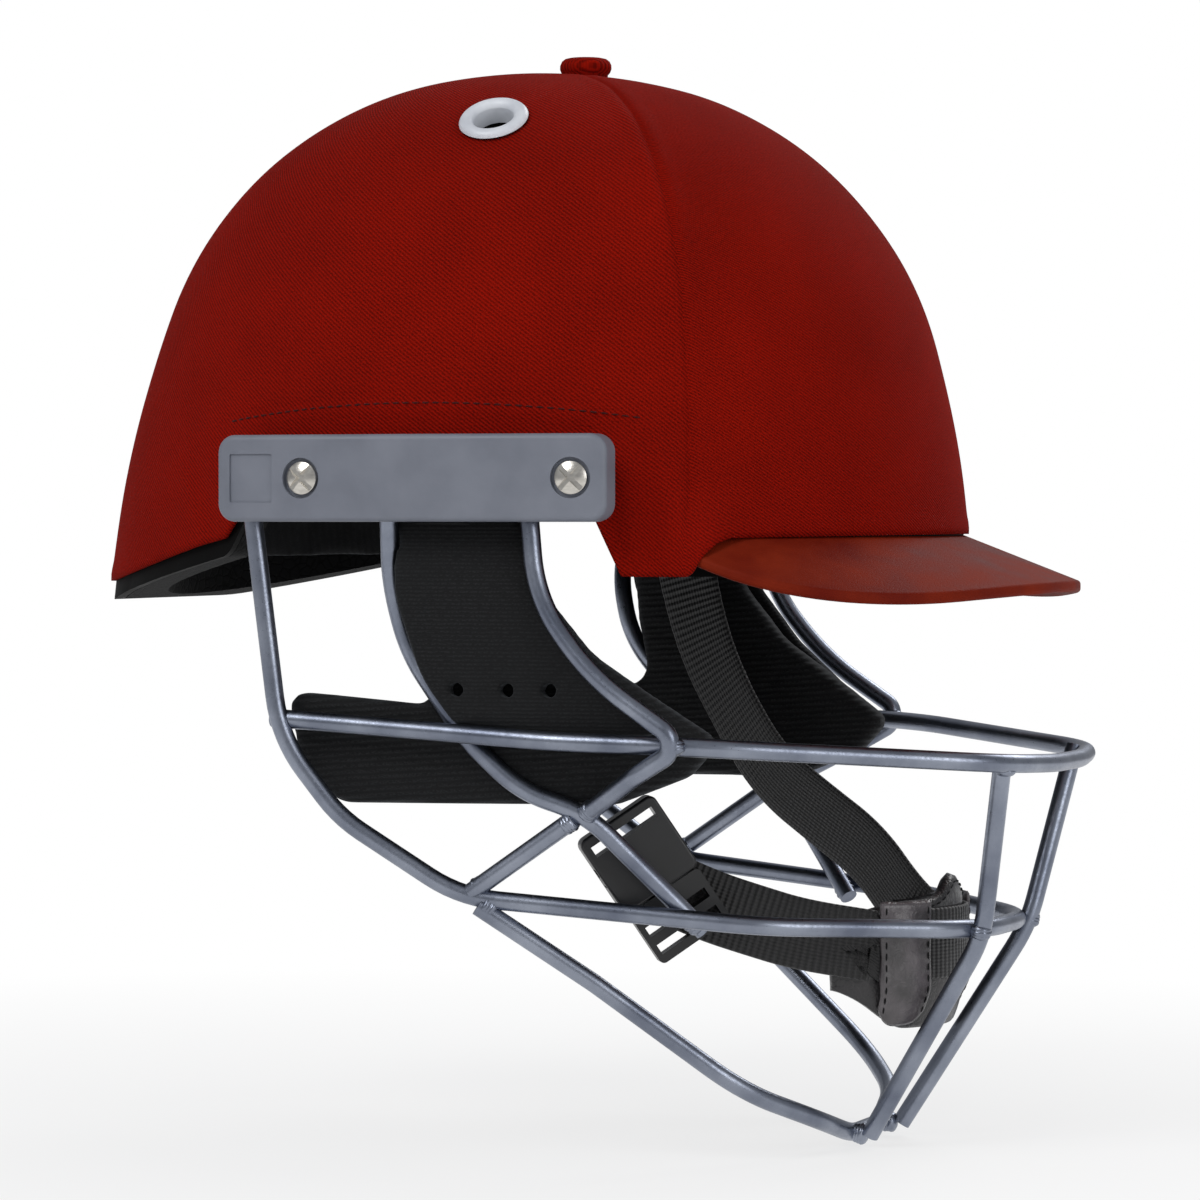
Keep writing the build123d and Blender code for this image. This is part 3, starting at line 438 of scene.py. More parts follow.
def domeProfile(distance):
    # Radius and height at this distance down the surface from the top, in mm.
    first = math.radians(dome["crownAngle"])
    second = math.radians(dome["shoulderAngle"])
    crown, shoulder = dome["crownRadius"], dome["shoulderRadius"]
    crownZ = dome["height"] - crown
    shoulderX = (crown - shoulder) * math.sin(first)
    shoulderZ = crownZ + (crown - shoulder) * math.cos(first)
    side = (dome["halfLength"] - shoulderX - shoulder * math.sin(second)) / (1 - math.sin(second))
    sideX = dome["halfLength"] - side
    sideZ = shoulderZ + (shoulder - side) * math.cos(second)
    crownRun = crown * first
    shoulderRun = shoulder * (second - first)
    if distance < crownRun:
        angle = distance / crown
        return crown * math.sin(angle), crownZ + crown * math.cos(angle)
    if distance < crownRun + shoulderRun:
        angle = first + (distance - crownRun) / shoulder
        return (shoulderX + shoulder * math.sin(angle), shoulderZ + shoulder * math.cos(angle))
    angle = second + (distance - crownRun - shoulderRun) / side
    return sideX + side * math.sin(angle), sideZ + side * math.cos(angle)


def domePoint(distance, angle, lift=0.0):
    # A place on the dome: distance down from the top and angle round it, 0 at the front.
    radius, height = domeProfile(distance)
    ratio = dome["halfWidth"] / dome["halfLength"]
    low, lowZ = domeProfile(distance + 0.5)
    slope = Vector((low - radius, 0, lowZ - height)).normalized()
    normal = Vector((-slope.z * math.cos(angle), -slope.z * math.sin(angle) / ratio, slope.x))
    normal = normal.normalized()
    spot = Vector((radius * math.cos(angle), radius * ratio * math.sin(angle), height))
    lean = Matrix.Rotation(math.radians(dome["lean"]), 3, "Y")
    return lean @ (spot + normal * lift) + Vector((dome["shift"], 0, 0)), lean @ normal


# The cloth's lower edge, read from the side: it rises over the ears, dips at the temples
# and lies on the peak in front.

rim = {"rear": 5.5, "riseStart": -116.0, "riseEnd": -58.0, "rise": 19.0, "archRear": -49.0,
       "archFront": 50.0, "arch": 29.6, "temple": 60.0, "templeZ": 8.0, "wing": 79.0,
       "wingEnd": 87.0, "peakRoot": 18.6, "peakFall": 0.0185, "notch": 4.0, "notchX": -4.5,
       "notchWidth": 5.0}


def rimHeight(x):
    if x < rim["riseEnd"]:
        share = smoothStep(x, rim["riseStart"], rim["riseEnd"] + 12)
        straight = min(max((x - rim["riseStart"]) / (rim["riseEnd"] - rim["riseStart"]), 0), 1)
        return rim["rear"] + (rim["rise"] - rim["rear"]) * (share + straight) / 2
    if x < rim["archRear"]:
        share = (x - rim["riseEnd"]) / (rim["archRear"] - rim["riseEnd"])
        return rim["rise"] + (rim["arch"] - rim["rise"]) * share
    if x < rim["archFront"]:
        return rim["arch"] + rim["notch"] * bell(x - rim["notchX"], rim["notchWidth"])
    if x < rim["temple"]:
        share = (x - rim["archFront"]) / (rim["temple"] - rim["archFront"])
        return rim["arch"] + (rim["templeZ"] - rim["arch"]) * share
    top = rim["peakRoot"] + rim["peakFall"] * (x - rim["wingEnd"])
    return rim["templeZ"] + (top - rim["templeZ"]) * smoothStep(x, rim["wing"] - 2, rim["wingEnd"])


def rimDistance(angle):
    # How far down the dome its lower edge is at this angle, found by halving.
    low, high = 90.0, 260.0
    for _ in range(30):
        middle = (low + high) / 2
        spot, _ = domePoint(middle, angle)
        if spot.z > rimHeight(spot.x):
            low = middle
        else:
            high = middle
    return low


cloth = {"seams": [54.0, 180.0, -54.0], "step": 1.5, "rows": 118, "top": 2.0, "thickness": 1.2,
         "grooveDepth": 0.55, "grooveWidth": 0.9, "ridge": 0.35, "ridgeAt": 3.0,
         "ridgeWidth": 2.2, "pucker": 0.1, "puckerWidth": 5.0, "wave": 0.35, "waveSize": 34.0,
         "rippleSize": 3.1, "rippleSway": 2.2, "swaySize": 17, "smoothTop": 8, "topEnd": 26,
         "edgeRoll": 0.3, "rollAt": 2.5, "rollWidth": 2.2, "eyeletHole": 8.3, "peakGap": 0.35}
archSeam = {"height": 53.0, "bow": 4.5, "centre": 3.0, "halfLength": 62.0, "groove": 0.45,
            "grooveWidth": 1.0, "ridge": 0.5, "ridgeBelow": 3.0, "ridgeWidth": 2.6,
            "nearestY": 40, "highestZ": 80, "middle": 2.0, "fullTo": 52, "end": 64}
folds = {"depth": 1.3, "frontX": 66.0, "frontLength": 11.0, "frontZ": 26.0, "frontHeight": 20.0,
         "pitch": 1.9, "fanX": 60, "fan": 0.32, "fanZ": 20, "sway": 0.6, "swaySize": 8,
         "rearFan": 0.5, "rearDepth": 0.5, "rearX": -62.0, "rearLength": 12.0, "rearZ": 30.0,
         "rearHeight": 14.0, "rearPitch": 2.6}
wing = {"out": 88.8, "start": 58, "full": 74, "fade": 80, "end": 91, "low": 12, "high": 34}


def clothAngles():
    # Columns round the dome, closer together at each seam.
    fine = [-3.2, -2.3, -1.6, -1.1, -0.75, -0.45, -0.2, 0, 0.2, 0.45, 0.75, 1.1, 1.6, 2.3, 3.2]
    clear = 4
    angles = set()
    for i in range(round(360 / cloth["step"])):
        angle = -180 + i * cloth["step"]
        if min(abs(turnFrom(seam, angle)) for seam in cloth["seams"]) > clear:
            angles.add(round(angle, 3))
    for seam in cloth["seams"]:
        for extra in fine:
            angles.add(round((seam + extra + 180) % 360 - 180, 3))
    return sorted(angles)


def turnFrom(seam, angle):
    # Degrees from the seam to the angle, the short way round.
    return (angle - seam + 180) % 360 - 180


def seamOffset(angle, radius):
    # Distance in mm to the nearest seam.
    nearest = min(abs(turnFrom(seam, angle)) for seam in cloth["seams"])
    return math.radians(nearest) * radius


def archSeamHeight(x):
    # The stitched seam that runs over the side cover.
    share = (x - archSeam["centre"]) / archSeam["halfLength"]
    return archSeam["height"] + archSeam["bow"] * (1 - share * share)


def seamLift(spot, angle, distance):
    # Panel seams, a groove between puckered ridges, and gentle waves in the cloth.
    offset = seamOffset(angle, domeProfile(distance)[0])
    groove = cloth["grooveDepth"] * bell(offset, cloth["grooveWidth"])
    ridge = cloth["ridge"] * bell(offset - cloth["ridgeAt"], cloth["ridgeWidth"])
    sway = cloth["rippleSway"] * math.sin(distance / cloth["swaySize"])
    ripple = math.sin(distance / cloth["rippleSize"] + sway)
    pucker = cloth["pucker"] * ripple * bell(offset, cloth["puckerWidth"])
    wave = cloth["wave"] * noise.noise(spot / cloth["waveSize"])
    calm = smoothStep(distance, cloth["smoothTop"], cloth["topEnd"])
    return (ridge - groove + pucker + wave) * calm


def archLift(spot):
    # The seam over the side cover: a groove with a ridge below it.
    if abs(spot.y) <= archSeam["nearestY"] or spot.z >= archSeam["highestZ"]:
        return 0.0
    over = spot.z - archSeamHeight(spot.x)
    ridge = archSeam["ridge"] * bell(over + archSeam["ridgeBelow"], archSeam["ridgeWidth"])
    groove = archSeam["groove"] * bell(over, archSeam["grooveWidth"])
    away = abs(spot.x - archSeam["middle"])
    return (ridge - groove) * smoothStep(-away, -archSeam["end"], -archSeam["fullTo"])


def foldLift(spot):
    # Folds that fan out from the cover's front corner to the temple, and weak ones behind.
    front = bell(spot.x - folds["frontX"], folds["frontLength"])
    front *= bell(spot.z - folds["frontZ"], folds["frontHeight"])
    along = spot.x - folds["fanX"] + folds["fan"] * (spot.z - folds["fanZ"])
    swing = math.sin(along / folds["pitch"]
                     + folds["sway"] * math.sin(spot.z / folds["swaySize"]))
    rear = bell(spot.x - folds["rearX"], folds["rearLength"])
    rear *= bell(spot.z - folds["rearZ"], folds["rearHeight"])
    rearSwing = math.sin((spot.x + folds["rearFan"] * spot.z) / folds["rearPitch"])
    return folds["depth"] * front * swing + folds["rearDepth"] * rear * rearSwing


def clothLift(spot, angle, distance, edge):
    # Height in mm above the plain dome. The edge is how far the hem is.
    roll = cloth["edgeRoll"] * bell(edge - cloth["rollAt"], cloth["rollWidth"])
    return seamLift(spot, angle, distance) + archLift(spot) + foldLift(spot) + roll


def wingPush(spot):
    # The cloth goes round the outside of the peak's rear corners.
    across = smoothStep(spot.x, wing["start"], wing["full"])
    across *= 1 - smoothStep(spot.x, wing["fade"], wing["end"])
    down = 1 - smoothStep(spot.z, wing["low"], wing["high"])
    return max(wing["out"] - abs(spot.y), 0) * across * down


def clothGrid():
    angles = clothAngles()
    rows = cloth["rows"]
    points, places = [], []
    for angle in angles:
        turn = math.radians(angle)
        total = rimDistance(turn)
        for row in range(rows + 1):
            distance = cloth["top"] + (total - cloth["top"]) * row / rows
            spot, _ = domePoint(distance, turn)
            lift = clothLift(spot, angle, distance, total - distance)
            spot, _ = domePoint(distance, turn, lift)
            spot.y += math.copysign(wingPush(spot), spot.y)
            points.append(spot * mm)
            places.append((angle, distance))
    return angles, points, places


def panelUv(place, panelCentre):
    # Each panel is cut on its own: metres across from its middle line, and down from the top.
    angle, distance = place
    turn = math.radians(turnFrom(panelCentre, angle))
    return (turn * domeProfile(distance)[0] * mm, distance * mm)


def panelCentreOf(angle):
    ordered = sorted(s % 360 for s in cloth["seams"])
    here = angle % 360
    for i, low in enumerate(ordered):
        high = ordered[(i + 1) % len(ordered)]
        span = (high - low) % 360
        if (here - low) % 360 < span:
            return low + span / 2
    return ordered[0]


def eyeletSpots():
    spots = []
    for side in sides:
        low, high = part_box("eyelet_" + side)
        spots.append((low + high) / 2)
    return spots


def makeClothCover(materials):
    angles, points, places = clothGrid()
    rows = cloth["rows"]
    faces, corners = [], []
    eyelets = eyeletSpots()
    for i in range(len(angles)):
        j = (i + 1) % len(angles)
        centre = panelCentreOf(angles[i] + (angles[j] - angles[i]) % 360 / 2)
        for row in range(rows):
            ring = (i * (rows + 1) + row, i * (rows + 1) + row + 1,
                    j * (rows + 1) + row + 1, j * (rows + 1) + row)
            middle = sum((points[k] for k in ring), Vector()) / 4
            if min((middle - spot).length for spot in eyelets) < cloth["eyeletHole"] * mm:
                continue
            faces.append(ring)
            corners += [panelUv(places[k], centre) for k in ring]
    mesh = meshFrom("clothCover", points, faces, corners)
    liftOver(mesh, cadTree("peak"), cloth["peakGap"])
    tidyNormals(mesh, 0)
    piece = addObject("clothCover", mesh, materials["twill"])
    thick = piece.modifiers.new("thickness", "SOLIDIFY")
    thick.thickness = cloth["thickness"] * mm
    thick.offset = -1
    solid = bakedMesh(piece, "clothCover")
    piece.modifiers.clear()
    piece.data = solid
    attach(piece, "helmet")
    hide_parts("cloth_cover")
    report("cloth cover")


button = {"radius": 7.6, "height": 5.4, "pleats": 8, "pleatDepth": 0.02, "at": 6.5,
          "sunk": 0.2}


def makeButton(materials):
    # A covered button: a domed cap gathered in eight soft pleats at its edge.
    base = domePoint(button["at"], 0.0)[0]
    rings = [(0.0, 1.0), (0.35, 0.99), (0.62, 0.96), (0.80, 0.90), (0.93, 0.76), (0.995, 0.56),
             (1.0, 0.36), (0.95, 0.18), (0.86, 0.04), (0.84, -0.2)]
    count = 64
    points, faces, corners = [], [], []
    for share, rise in rings:
        for i in range(count):
            angle = 2 * math.pi * i / count
            pleat = 1 + button["pleatDepth"] * math.cos(button["pleats"] * angle) * share ** 4
            radius = button["radius"] * share * pleat
            points.append(Vector((base.x + radius * math.cos(angle), radius * math.sin(angle),
                                  base.z - button["sunk"] + rise * button["height"])) * mm)
    for ring in range(len(rings) - 1):
        for i in range(count):
            j = (i + 1) % count
            faces.append((ring * count + i, ring * count + j, (ring + 1) * count + j,
                          (ring + 1) * count + i))
            corners += [(points[k].x, points[k].y) for k in faces[-1]]
    faces.append(tuple((len(rings) - 1) * count + i for i in range(count)))
    corners += [(points[k].x, points[k].y) for k in faces[-1]]
    mesh = meshFrom("coveredButton", points, faces, corners)
    tidyNormals(mesh)
    piece = addObject("coveredButton", mesh, materials["twill"])
    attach(piece, "helmet")
    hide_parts("top_button")
    report("button")


# Foam pads: each starts as its solid and is blown up a little as cloth. The pads that have
# a right and a left are made once, kept clear of the wires and mirrored.

lined = {"material": "lining", "voxel": 2.0, "shrink": 0.5, "cap": 1.6, "fill": 0.7,
         "slot": "comfort"}
pads = {
    "ear_panel": {"material": "knit", "voxel": 1.1, "shrink": 0.25, "cap": 0.9, "fill": 0.8,
                  "slot": "panel"},
    "jaw_pad": {"material": "ribKnit", "voxel": 1.4, "shrink": 0.4, "cap": 1.4, "fill": 0.75,
                "slot": "jaw", "rib": 0.12, "ribPitch": 3.4},
    "side_pad": {**lined, "cap": 1.5},
    "front_sweatband": lined,
    "rear_pad": lined,
    "crown_pad": lined,
}
blow = {"pressure": 4.0, "stiffness": 40, "mass": 0.3, "quality": 5, "frames": 16}
wireGap = 0.25


def softBody(name, material, choice):
    mesh = cadNodes[name].data.copy()
    tidyNormals(mesh, 0.01)
    piece = addObject(name + "Soft", mesh, material)
    remesh = piece.modifiers.new("voxels", "REMESH")
    remesh.mode = "VOXEL"
    remesh.voxel_size = choice["voxel"] * mm
    rounding = piece.modifiers.new("rounding", "SMOOTH")
    rounding.iterations = 2
    rounding.factor = 0.5
    mesh = bakedMesh(piece, name + "Soft")
    piece.modifiers.clear()
    piece.data = mesh
    swell(mesh, lambda place, normal: -choice["shrink"])
    start = [v.co.copy() for v in mesh.vertices]
    most = choice["cap"] * mm
    for vertex, before, after in zip(mesh.vertices, start, blowUp(piece)):
        move = after - before
        if move.length > most:
            move = move.normalized() * most
        vertex.co = before + move
    mesh.update()
    bpy.data.objects.remove(piece)
    return mesh


def blowUp(piece):
    # Gravity-free cloth with air inside, stepped for a short time and read back.
    scene = bpy.context.scene
    scene.frame_set(1)
    sim = piece.modifiers.new("cloth", "CLOTH")
    sim.settings.quality = blow["quality"]
    sim.settings.mass = blow["mass"]
    sim.settings.use_pressure = True
    sim.settings.uniform_pressure_force = blow["pressure"]
    sim.settings.effector_weights.gravity = 0.0
    sim.settings.tension_stiffness = blow["stiffness"]
    sim.settings.compression_stiffness = blow["stiffness"]
    sim.collision_settings.use_collision = False
    sim.point_cache.frame_start = 1
    sim.point_cache.frame_end = blow["frames"]
    for step in range(1, blow["frames"] + 1):
        scene.frame_set(step)
    depsgraph = bpy.context.evaluated_depsgraph_get()
    result = piece.evaluated_get(depsgraph)
    moved = [v.co.copy() for v in result.data.vertices]
    piece.modifiers.clear()
    scene.frame_set(1)
    return moved


def refined(mesh, material, name):
    piece = addObject(name, mesh, material)
    smoother = piece.modifiers.new("smoother", "SUBSURF")
    smoother.levels = 1
    smoother.render_levels = 1
    finer = bakedMesh(piece, name)
    piece.modifiers.clear()
    bpy.data.objects.remove(piece)
    return finer


def addRibs(mesh, rib, pitch):
    # Shallow rows that follow the pad's long way, raised on its outer and inner faces.
    lean = 0.07

    def row(place, normal):
        height = (place.z + lean * place.x) / mm
        return rib * abs(normal.y) * math.cos(2 * math.pi * height / pitch)
    swell(mesh, row)


def makePads(materials):
    wires = cadTree("face_loop", "brow_bar", "front_stay_right", "middle_stay_right",
                    "brace_right", "side_cover_right", "side_strip_right")
    for kind, choice in pads.items():
        material = materials[choice["material"]]
        paired = kind not in cadNodes
        mesh = softBody(kind + "_right" if paired else kind, material, choice)
        mesh = refined(mesh, material, kind)
        if "rib" in choice:
            addRibs(mesh, choice["rib"], choice["ribPitch"])
        if paired:
            keepClear(mesh, wires, wireGap)
            mesh.update()
        label = "soft" + kind.replace("_", " ").title().replace(" ", "")
        for side in sides if paired else [""]:
            shape = mirrored(mesh, kind + "Left") if side == "left" else mesh
            piece = addObject(label + side.title(), shape, material)
            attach(piece, "helmet")
            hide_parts(kind + "_" + side if paired else kind)
        report(kind)


# Harness webbing: seen from above it runs along a line and round the cup, seen from the
# side it follows its own bends. The band lies in the upright wall over the line.

harness = {"width": 20.0, "thickness": 1.6, "anchorY": 77.0, "backX": 1.0,
           "flatX": 24.0, "kneeX": 52.0, "kneeY": 63.0, "cupX": 96.0, "cupRadius": 34.0,
           "cupZ": -96.0, "reach": 160.0, "drop": 100.0}


def smoothPath(points, rounds=4):
    # Corner cutting, which keeps both ends.
    for _ in range(rounds):
        finer = [points[0]]
        for before, after in zip(points, points[1:]):
            finer.append(before.lerp(after, 0.25))
            finer.append(before.lerp(after, 0.75))
        finer.append(points[-1])
        points = finer
    return points


def cupTouch():
    # Angle about the cup's centre where the straight strap meets its arc.
    dx = harness["kneeX"] - harness["cupX"]
    reach = math.hypot(dx, harness["kneeY"])
    return math.atan2(harness["kneeY"], dx) - math.acos(harness["cupRadius"] / reach)


def planLine():
    # The strap from above, from the left anchor to where it meets the cup.
    angle = cupTouch()
    touch = Vector((harness["cupX"] + harness["cupRadius"] * math.cos(angle),
                    harness["cupRadius"] * math.sin(angle)))
    return smoothPath([Vector((harness["backX"], harness["anchorY"])),
                       Vector((harness["flatX"], harness["anchorY"])),
                       Vector((harness["kneeX"], harness["kneeY"])), touch])


def planPlace(x):
    # Width from the middle plane, and the line's direction, at this x.
    line = planLine()
    for before, after in zip(line, line[1:]):
        if before.x <= x <= after.x:
            share = (x - before.x) / (after.x - before.x)
            return before.lerp(after, share).y, (after - before).normalized()
    return line[-1].y, (line[-1] - line[-2]).normalized()


def legStations(side, shares):
    # Centre points, band directions and outward directions of one leg. The shares are of
    # the harness's reach forwards and its drop.
    route = smoothPath([Vector((x * harness["reach"], z * harness["drop"])) for x, z in shares])
    stations = []
    for i, spot in enumerate(route):
        near = route[max(i - 1, 0)]
        far = route[min(i + 1, len(route) - 1)]
        y, plan = planPlace(spot.x)
        run = Vector((plan.x, plan.y * side, 0)).normalized()
        step = Vector((far.x - near.x, 0, far.y - near.y))
        climb = step.z / max(abs(step.x / run.x), 0.01) if abs(run.x) > 0.01 else 0
        along = (run * (1 if step.x >= 0 else -1) + Vector((0, 0, climb))).normalized()
        if abs(step.x) < 0.3:
            along = Vector((0, 0, math.copysign(1, step.z)))
        outward = Vector((-run.y, run.x, 0)) * side
        band = along.cross(outward).normalized()
        stations.append((Vector((spot.x, y * side, spot.y)), band, outward))
    return stations


def arcStations(startAngle, endAngle, count):
    stations = []
    for i in range(count + 1):
        angle = startAngle + (endAngle - startAngle) * i / count
        outward = Vector((math.cos(angle), math.sin(angle), 0))
        spot = Vector((harness["cupX"], 0, harness["cupZ"])) + outward * harness["cupRadius"]
        stations.append((spot, Vector((0, 0, 1)), outward))
    return stations


def bandMesh(name, stations, width, thickness):
    # A flat band with rounded edges, closed at both ends.
    half, flat = width / 2, thickness / 2
    section = [(-half, 0.0), (-half + 0.25, flat * 0.75), (-half + 1.0, flat)]
    section += [(-half + 1.0 + (width - 2.0) * i / 6, flat) for i in range(1, 6)]
    section += [(half - 1.0, flat), (half - 0.25, flat * 0.75), (half, 0.0)]
    section += [(x, -z) for x, z in reversed(section[1:-1])]
    points, faces, corners = [], [], []
    run = [0.0]
    for before, after in zip(stations, stations[1:]):
        run.append(run[-1] + (after[0] - before[0]).length)
    for spot, band, outward in stations:
        points += [(spot + band * x + outward * z) * mm for x, z in section]
    size = len(section)
    for i in range(len(stations) - 1):
        for k in range(size):
            n = (k + 1) % size
            ring = (i * size + k, i * size + n, (i + 1) * size + n, (i + 1) * size + k)
            faces.append(ring)
            corners += [(run[i] * mm, section[k][0] * mm), (run[i] * mm, section[n][0] * mm),
                        (run[i + 1] * mm, section[n][0] * mm),
                        (run[i + 1] * mm, section[k][0] * mm)]
    for i, order in ((0, 1), (len(stations) - 1, -1)):
        ring = [i * size + k for k in range(size)][::order]
        faces.append(tuple(ring))
        corners += [(run[i] * mm, section[k % size][0] * mm) for k in range(size)][::order]
    mesh = meshFrom(name, points, faces, corners)
    tidyNormals(mesh, 0.001)
    return mesh


leftLeg = [(0.075, 0.440), (0.120, 0.15), (0.165, -0.140), (0.245, -0.36), (0.330, -0.530),
           (0.450, -0.645), (0.560, -0.745), (0.640, -0.885), (0.7025, -0.957)]
rightLeg = [(0.075, 0.440), (0.112, 0.150), (0.150, -0.140), (0.205, -0.31), (0.256, -0.450)]
cupLeg = [(0.398, -0.800), (0.455, -0.845), (0.512, -0.880), (0.590, -0.925), (0.7025, -0.959)]


def makeHarness(materials):
    touch = cupTouch()
    left = legStations(1, leftLeg)
    right = legStations(-1, cupLeg)
    arc = arcStations(touch, -touch, 40)
    flipped = [(spot, -band, outward) for spot, band, outward in reversed(right)]
    whole = []
    for spot, band, outward in left + arc[1:-1] + flipped:
        if whole and whole[-1][1].dot(band) < 0:
            band = -band
        if whole and whole[-1][2].dot(outward) < 0:
            outward = -outward
        whole.append((spot, band, outward))
    mesh = bandMesh("chinWebbing", whole, harness["width"], harness["thickness"])
    piece = addObject("chinWebbing", mesh, materials["webbing"])
    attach(piece, "chin_harness")
    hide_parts("chin_strap")
    mesh = bandMesh("buckleWebbing", legStations(-1, rightLeg), harness["width"],
                    harness["thickness"])
    piece = addObject("buckleWebbing", mesh, materials["webbing"])
    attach(piece, "chin_harness")
    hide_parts("buckle_strap")
    report("webbing")


# Chin cup: a padded bowl behind the strap, and the leatherette sleeves that hold it.

cup = {"radius": 32.9, "wall": 4.0, "centreX": 96.0, "centreZ": -96.0, "halfAngle": 82.0,
       "low": -25.0, "high": 12.5, "lobe": 7.0, "curl": 30.0, "lobeAngle": 15.0,
       "straight": 11.0, "cornerDrop": 4.0, "dropFrom": 40, "dropTo": 82, "cornerRise": 12.0,
       "riseFrom": 38, "riseTo": 84, "crinkle": 0.3, "crinkleSize": 9}


def cupSurface(angle, height, lift):
    # A place in front of the bowl, which curls inwards above and below the strap.
    past = max(abs(height) - cup["straight"], 0.0)
    inward = past * past / (2 * cup["curl"])
    slope = math.copysign(past / cup["curl"], height)
    radius = cup["radius"] - inward + lift
    return Vector((cup["centreX"] + radius * math.cos(angle), radius * math.sin(angle),
                   cup["centreZ"] + height + lift * slope))


def cupTop(angle):
    turn = math.degrees(angle)
    lobe = cup["lobe"] * bell(turn, cup["lobeAngle"])
    drop = cup["cornerDrop"] * smoothStep(abs(turn), cup["dropFrom"], cup["dropTo"])
    return cup["high"] + lobe - drop


def cupBottom(angle):
    turn = abs(math.degrees(angle))
    return cup["low"] + cup["cornerRise"] * smoothStep(turn, cup["riseFrom"], cup["riseTo"])


def cushionPatch(name, surface, columns, rows, thickness, edge, sizes):
    # A closed pad between an outer and an inner face that meet in a rounded edge.
    points, faces, corners = [], [], []
    for level in (1, -1):
        for i in range(columns + 1):
            for k in range(rows + 1):
                u, v = i / columns, k / rows
                inset = min(u * sizes[0], (1 - u) * sizes[0], v * sizes[1], (1 - v) * sizes[1])
                share = min(inset / edge, 1.0)
                full = math.sqrt(max(1 - (1 - share) ** 2, 0.0))
                points.append(surface(u, v, level * thickness / 2 * full) * mm)
    size = (columns + 1) * (rows + 1)
    for level in (0, 1):
        for i in range(columns):
            for k in range(rows):
                a = level * size + i * (rows + 1) + k
                ring = (a, a + rows + 1, a + rows + 2, a + 1)
                ring = ring if level == 0 else ring[::-1]
                faces.append(ring)
                for index in ring:
                    local = index - level * size
                    corners.append((local // (rows + 1) / columns * sizes[0] * mm,
                                    local % (rows + 1) / rows * sizes[1] * mm))
    mesh = meshFrom(name, points, faces, corners)
    tidyNormals(mesh, 0.005)
    return mesh


def bowlPlace(u, v, lift):
    angle = math.radians(cup["halfAngle"]) * (2 * u - 1)
    height = cupBottom(angle) + (cupTop(angle) - cupBottom(angle)) * v
    return cupSurface(angle, height, lift - cup["wall"] / 2)


sleeve = {"start": 32.0, "end": 58.0, "low": -22.5, "high": 12.4, "wall": 1.5, "lift": 2.4,
          "liftEnd": 20.0, "over": 0.75, "cornerRise": 5.0, "crinkle": 0.35, "crinkleSize": 6}


def sleevePlace(side):
    def place(u, v, lift):
        angle = math.radians(sleeve["start"] + (sleeve["end"] - sleeve["start"]) * u) * side
        low = sleeve["low"] + sleeve["cornerRise"] * (2 * u - 1) ** 4
        height = low + (sleeve["high"] - low) * v
        over = sleeve["lift"] * (1 - smoothStep(abs(height), cup["straight"],
                                                  sleeve["liftEnd"]))
        over += sleeve["over"]
        return cupSurface(angle, height, lift + over)
    return place


def crinkle(mesh, choice):
    size = choice["crinkleSize"] * mm
    swell(mesh, lambda place, normal: choice["crinkle"] * noise.noise(place / size))


def makeCup(materials):
    mesh = cushionPatch("chinCup", bowlPlace, 96, 40, cup["wall"], 2.6, (94.0, 44.0))
    crinkle(mesh, cup)
    piece = addObject("chinCupBowl", mesh, materials["leatherette"])
    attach(piece, "cup_slider")
    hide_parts("chin_cup")
    for name, side in sides.items():
        mesh = cushionPatch("cupSleeve", sleevePlace(side), 36, 40, sleeve["wall"], 1.4,
                            (20.0, 38.0))
        crinkle(mesh, sleeve)
        # The sleeves take the leatherette that is painted paler as a highlight.
        piece = addObject("cupSleeve" + name.title(), mesh, materials["highlitLeatherette"])
        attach(piece, "cup_slider")
        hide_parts("cup_sleeve_" + name)
    report("chin cup")


# Stitches and welds, made by geometry nodes on plain guide curves.

def startTree(name, *numbers):
    # A tree whose inputs are a guide, the named numbers and a material.
    tree = bpy.data.node_groups.new(name, "GeometryNodeTree")
    kinds = {"Geometry": "Geometry", **{number: "Float" for number in numbers},
             "Material": "Material"}
    for socket, kind in kinds.items():
        tree.interface.new_socket(socket, in_out="INPUT", socket_type="NodeSocket" + kind)
    tree.interface.new_socket("Geometry", in_out="OUTPUT", socket_type="NodeSocketGeometry")
    return tree, addNode(tree, "NodeGroupInput").outputs


def copiesAlong(tree, spread, ball, scale):
    # A real copy of the ball on each point of the spread curve, turned to follow it.
    aim = addNode(tree, "FunctionNodeAlignRotationToVector", {"axis": "Z"},
                  {"Vector": addNode(tree, "GeometryNodeInputTangent")})
    place = addNode(tree, "GeometryNodeInstanceOnPoints", None, {
        "Points": spread, "Instance": ball, "Rotation": aim, "Scale": scale})
    return addNode(tree, "GeometryNodeRealizeInstances", None, {"Geometry": place})


def endTree(tree, shape, material):
    paint = addNode(tree, "GeometryNodeSetMaterial", None,
                    {"Geometry": shape, "Material": material})
    addNode(tree, "NodeGroupOutput", None, {"Geometry": paint})
    return tree


def stitchTree(name):
    tree, given = startTree(name, "Pitch", "Stitch length", "Thread radius")
    spread = addNode(tree, "GeometryNodeResampleCurve", {"mode": "LENGTH"},
                     {"Curve": given["Geometry"], "Length": given["Pitch"]})
    ball = addNode(tree, "GeometryNodeMeshUVSphere", {"Segments": 8, "Rings": 6, "Radius": 1.0})
    size = addNode(tree, "ShaderNodeCombineXYZ", None, {
        "X": given["Thread radius"], "Y": given["Thread radius"], "Z": given["Stitch length"]})
    return endTree(tree, copiesAlong(tree, spread, ball, size), given["Material"])


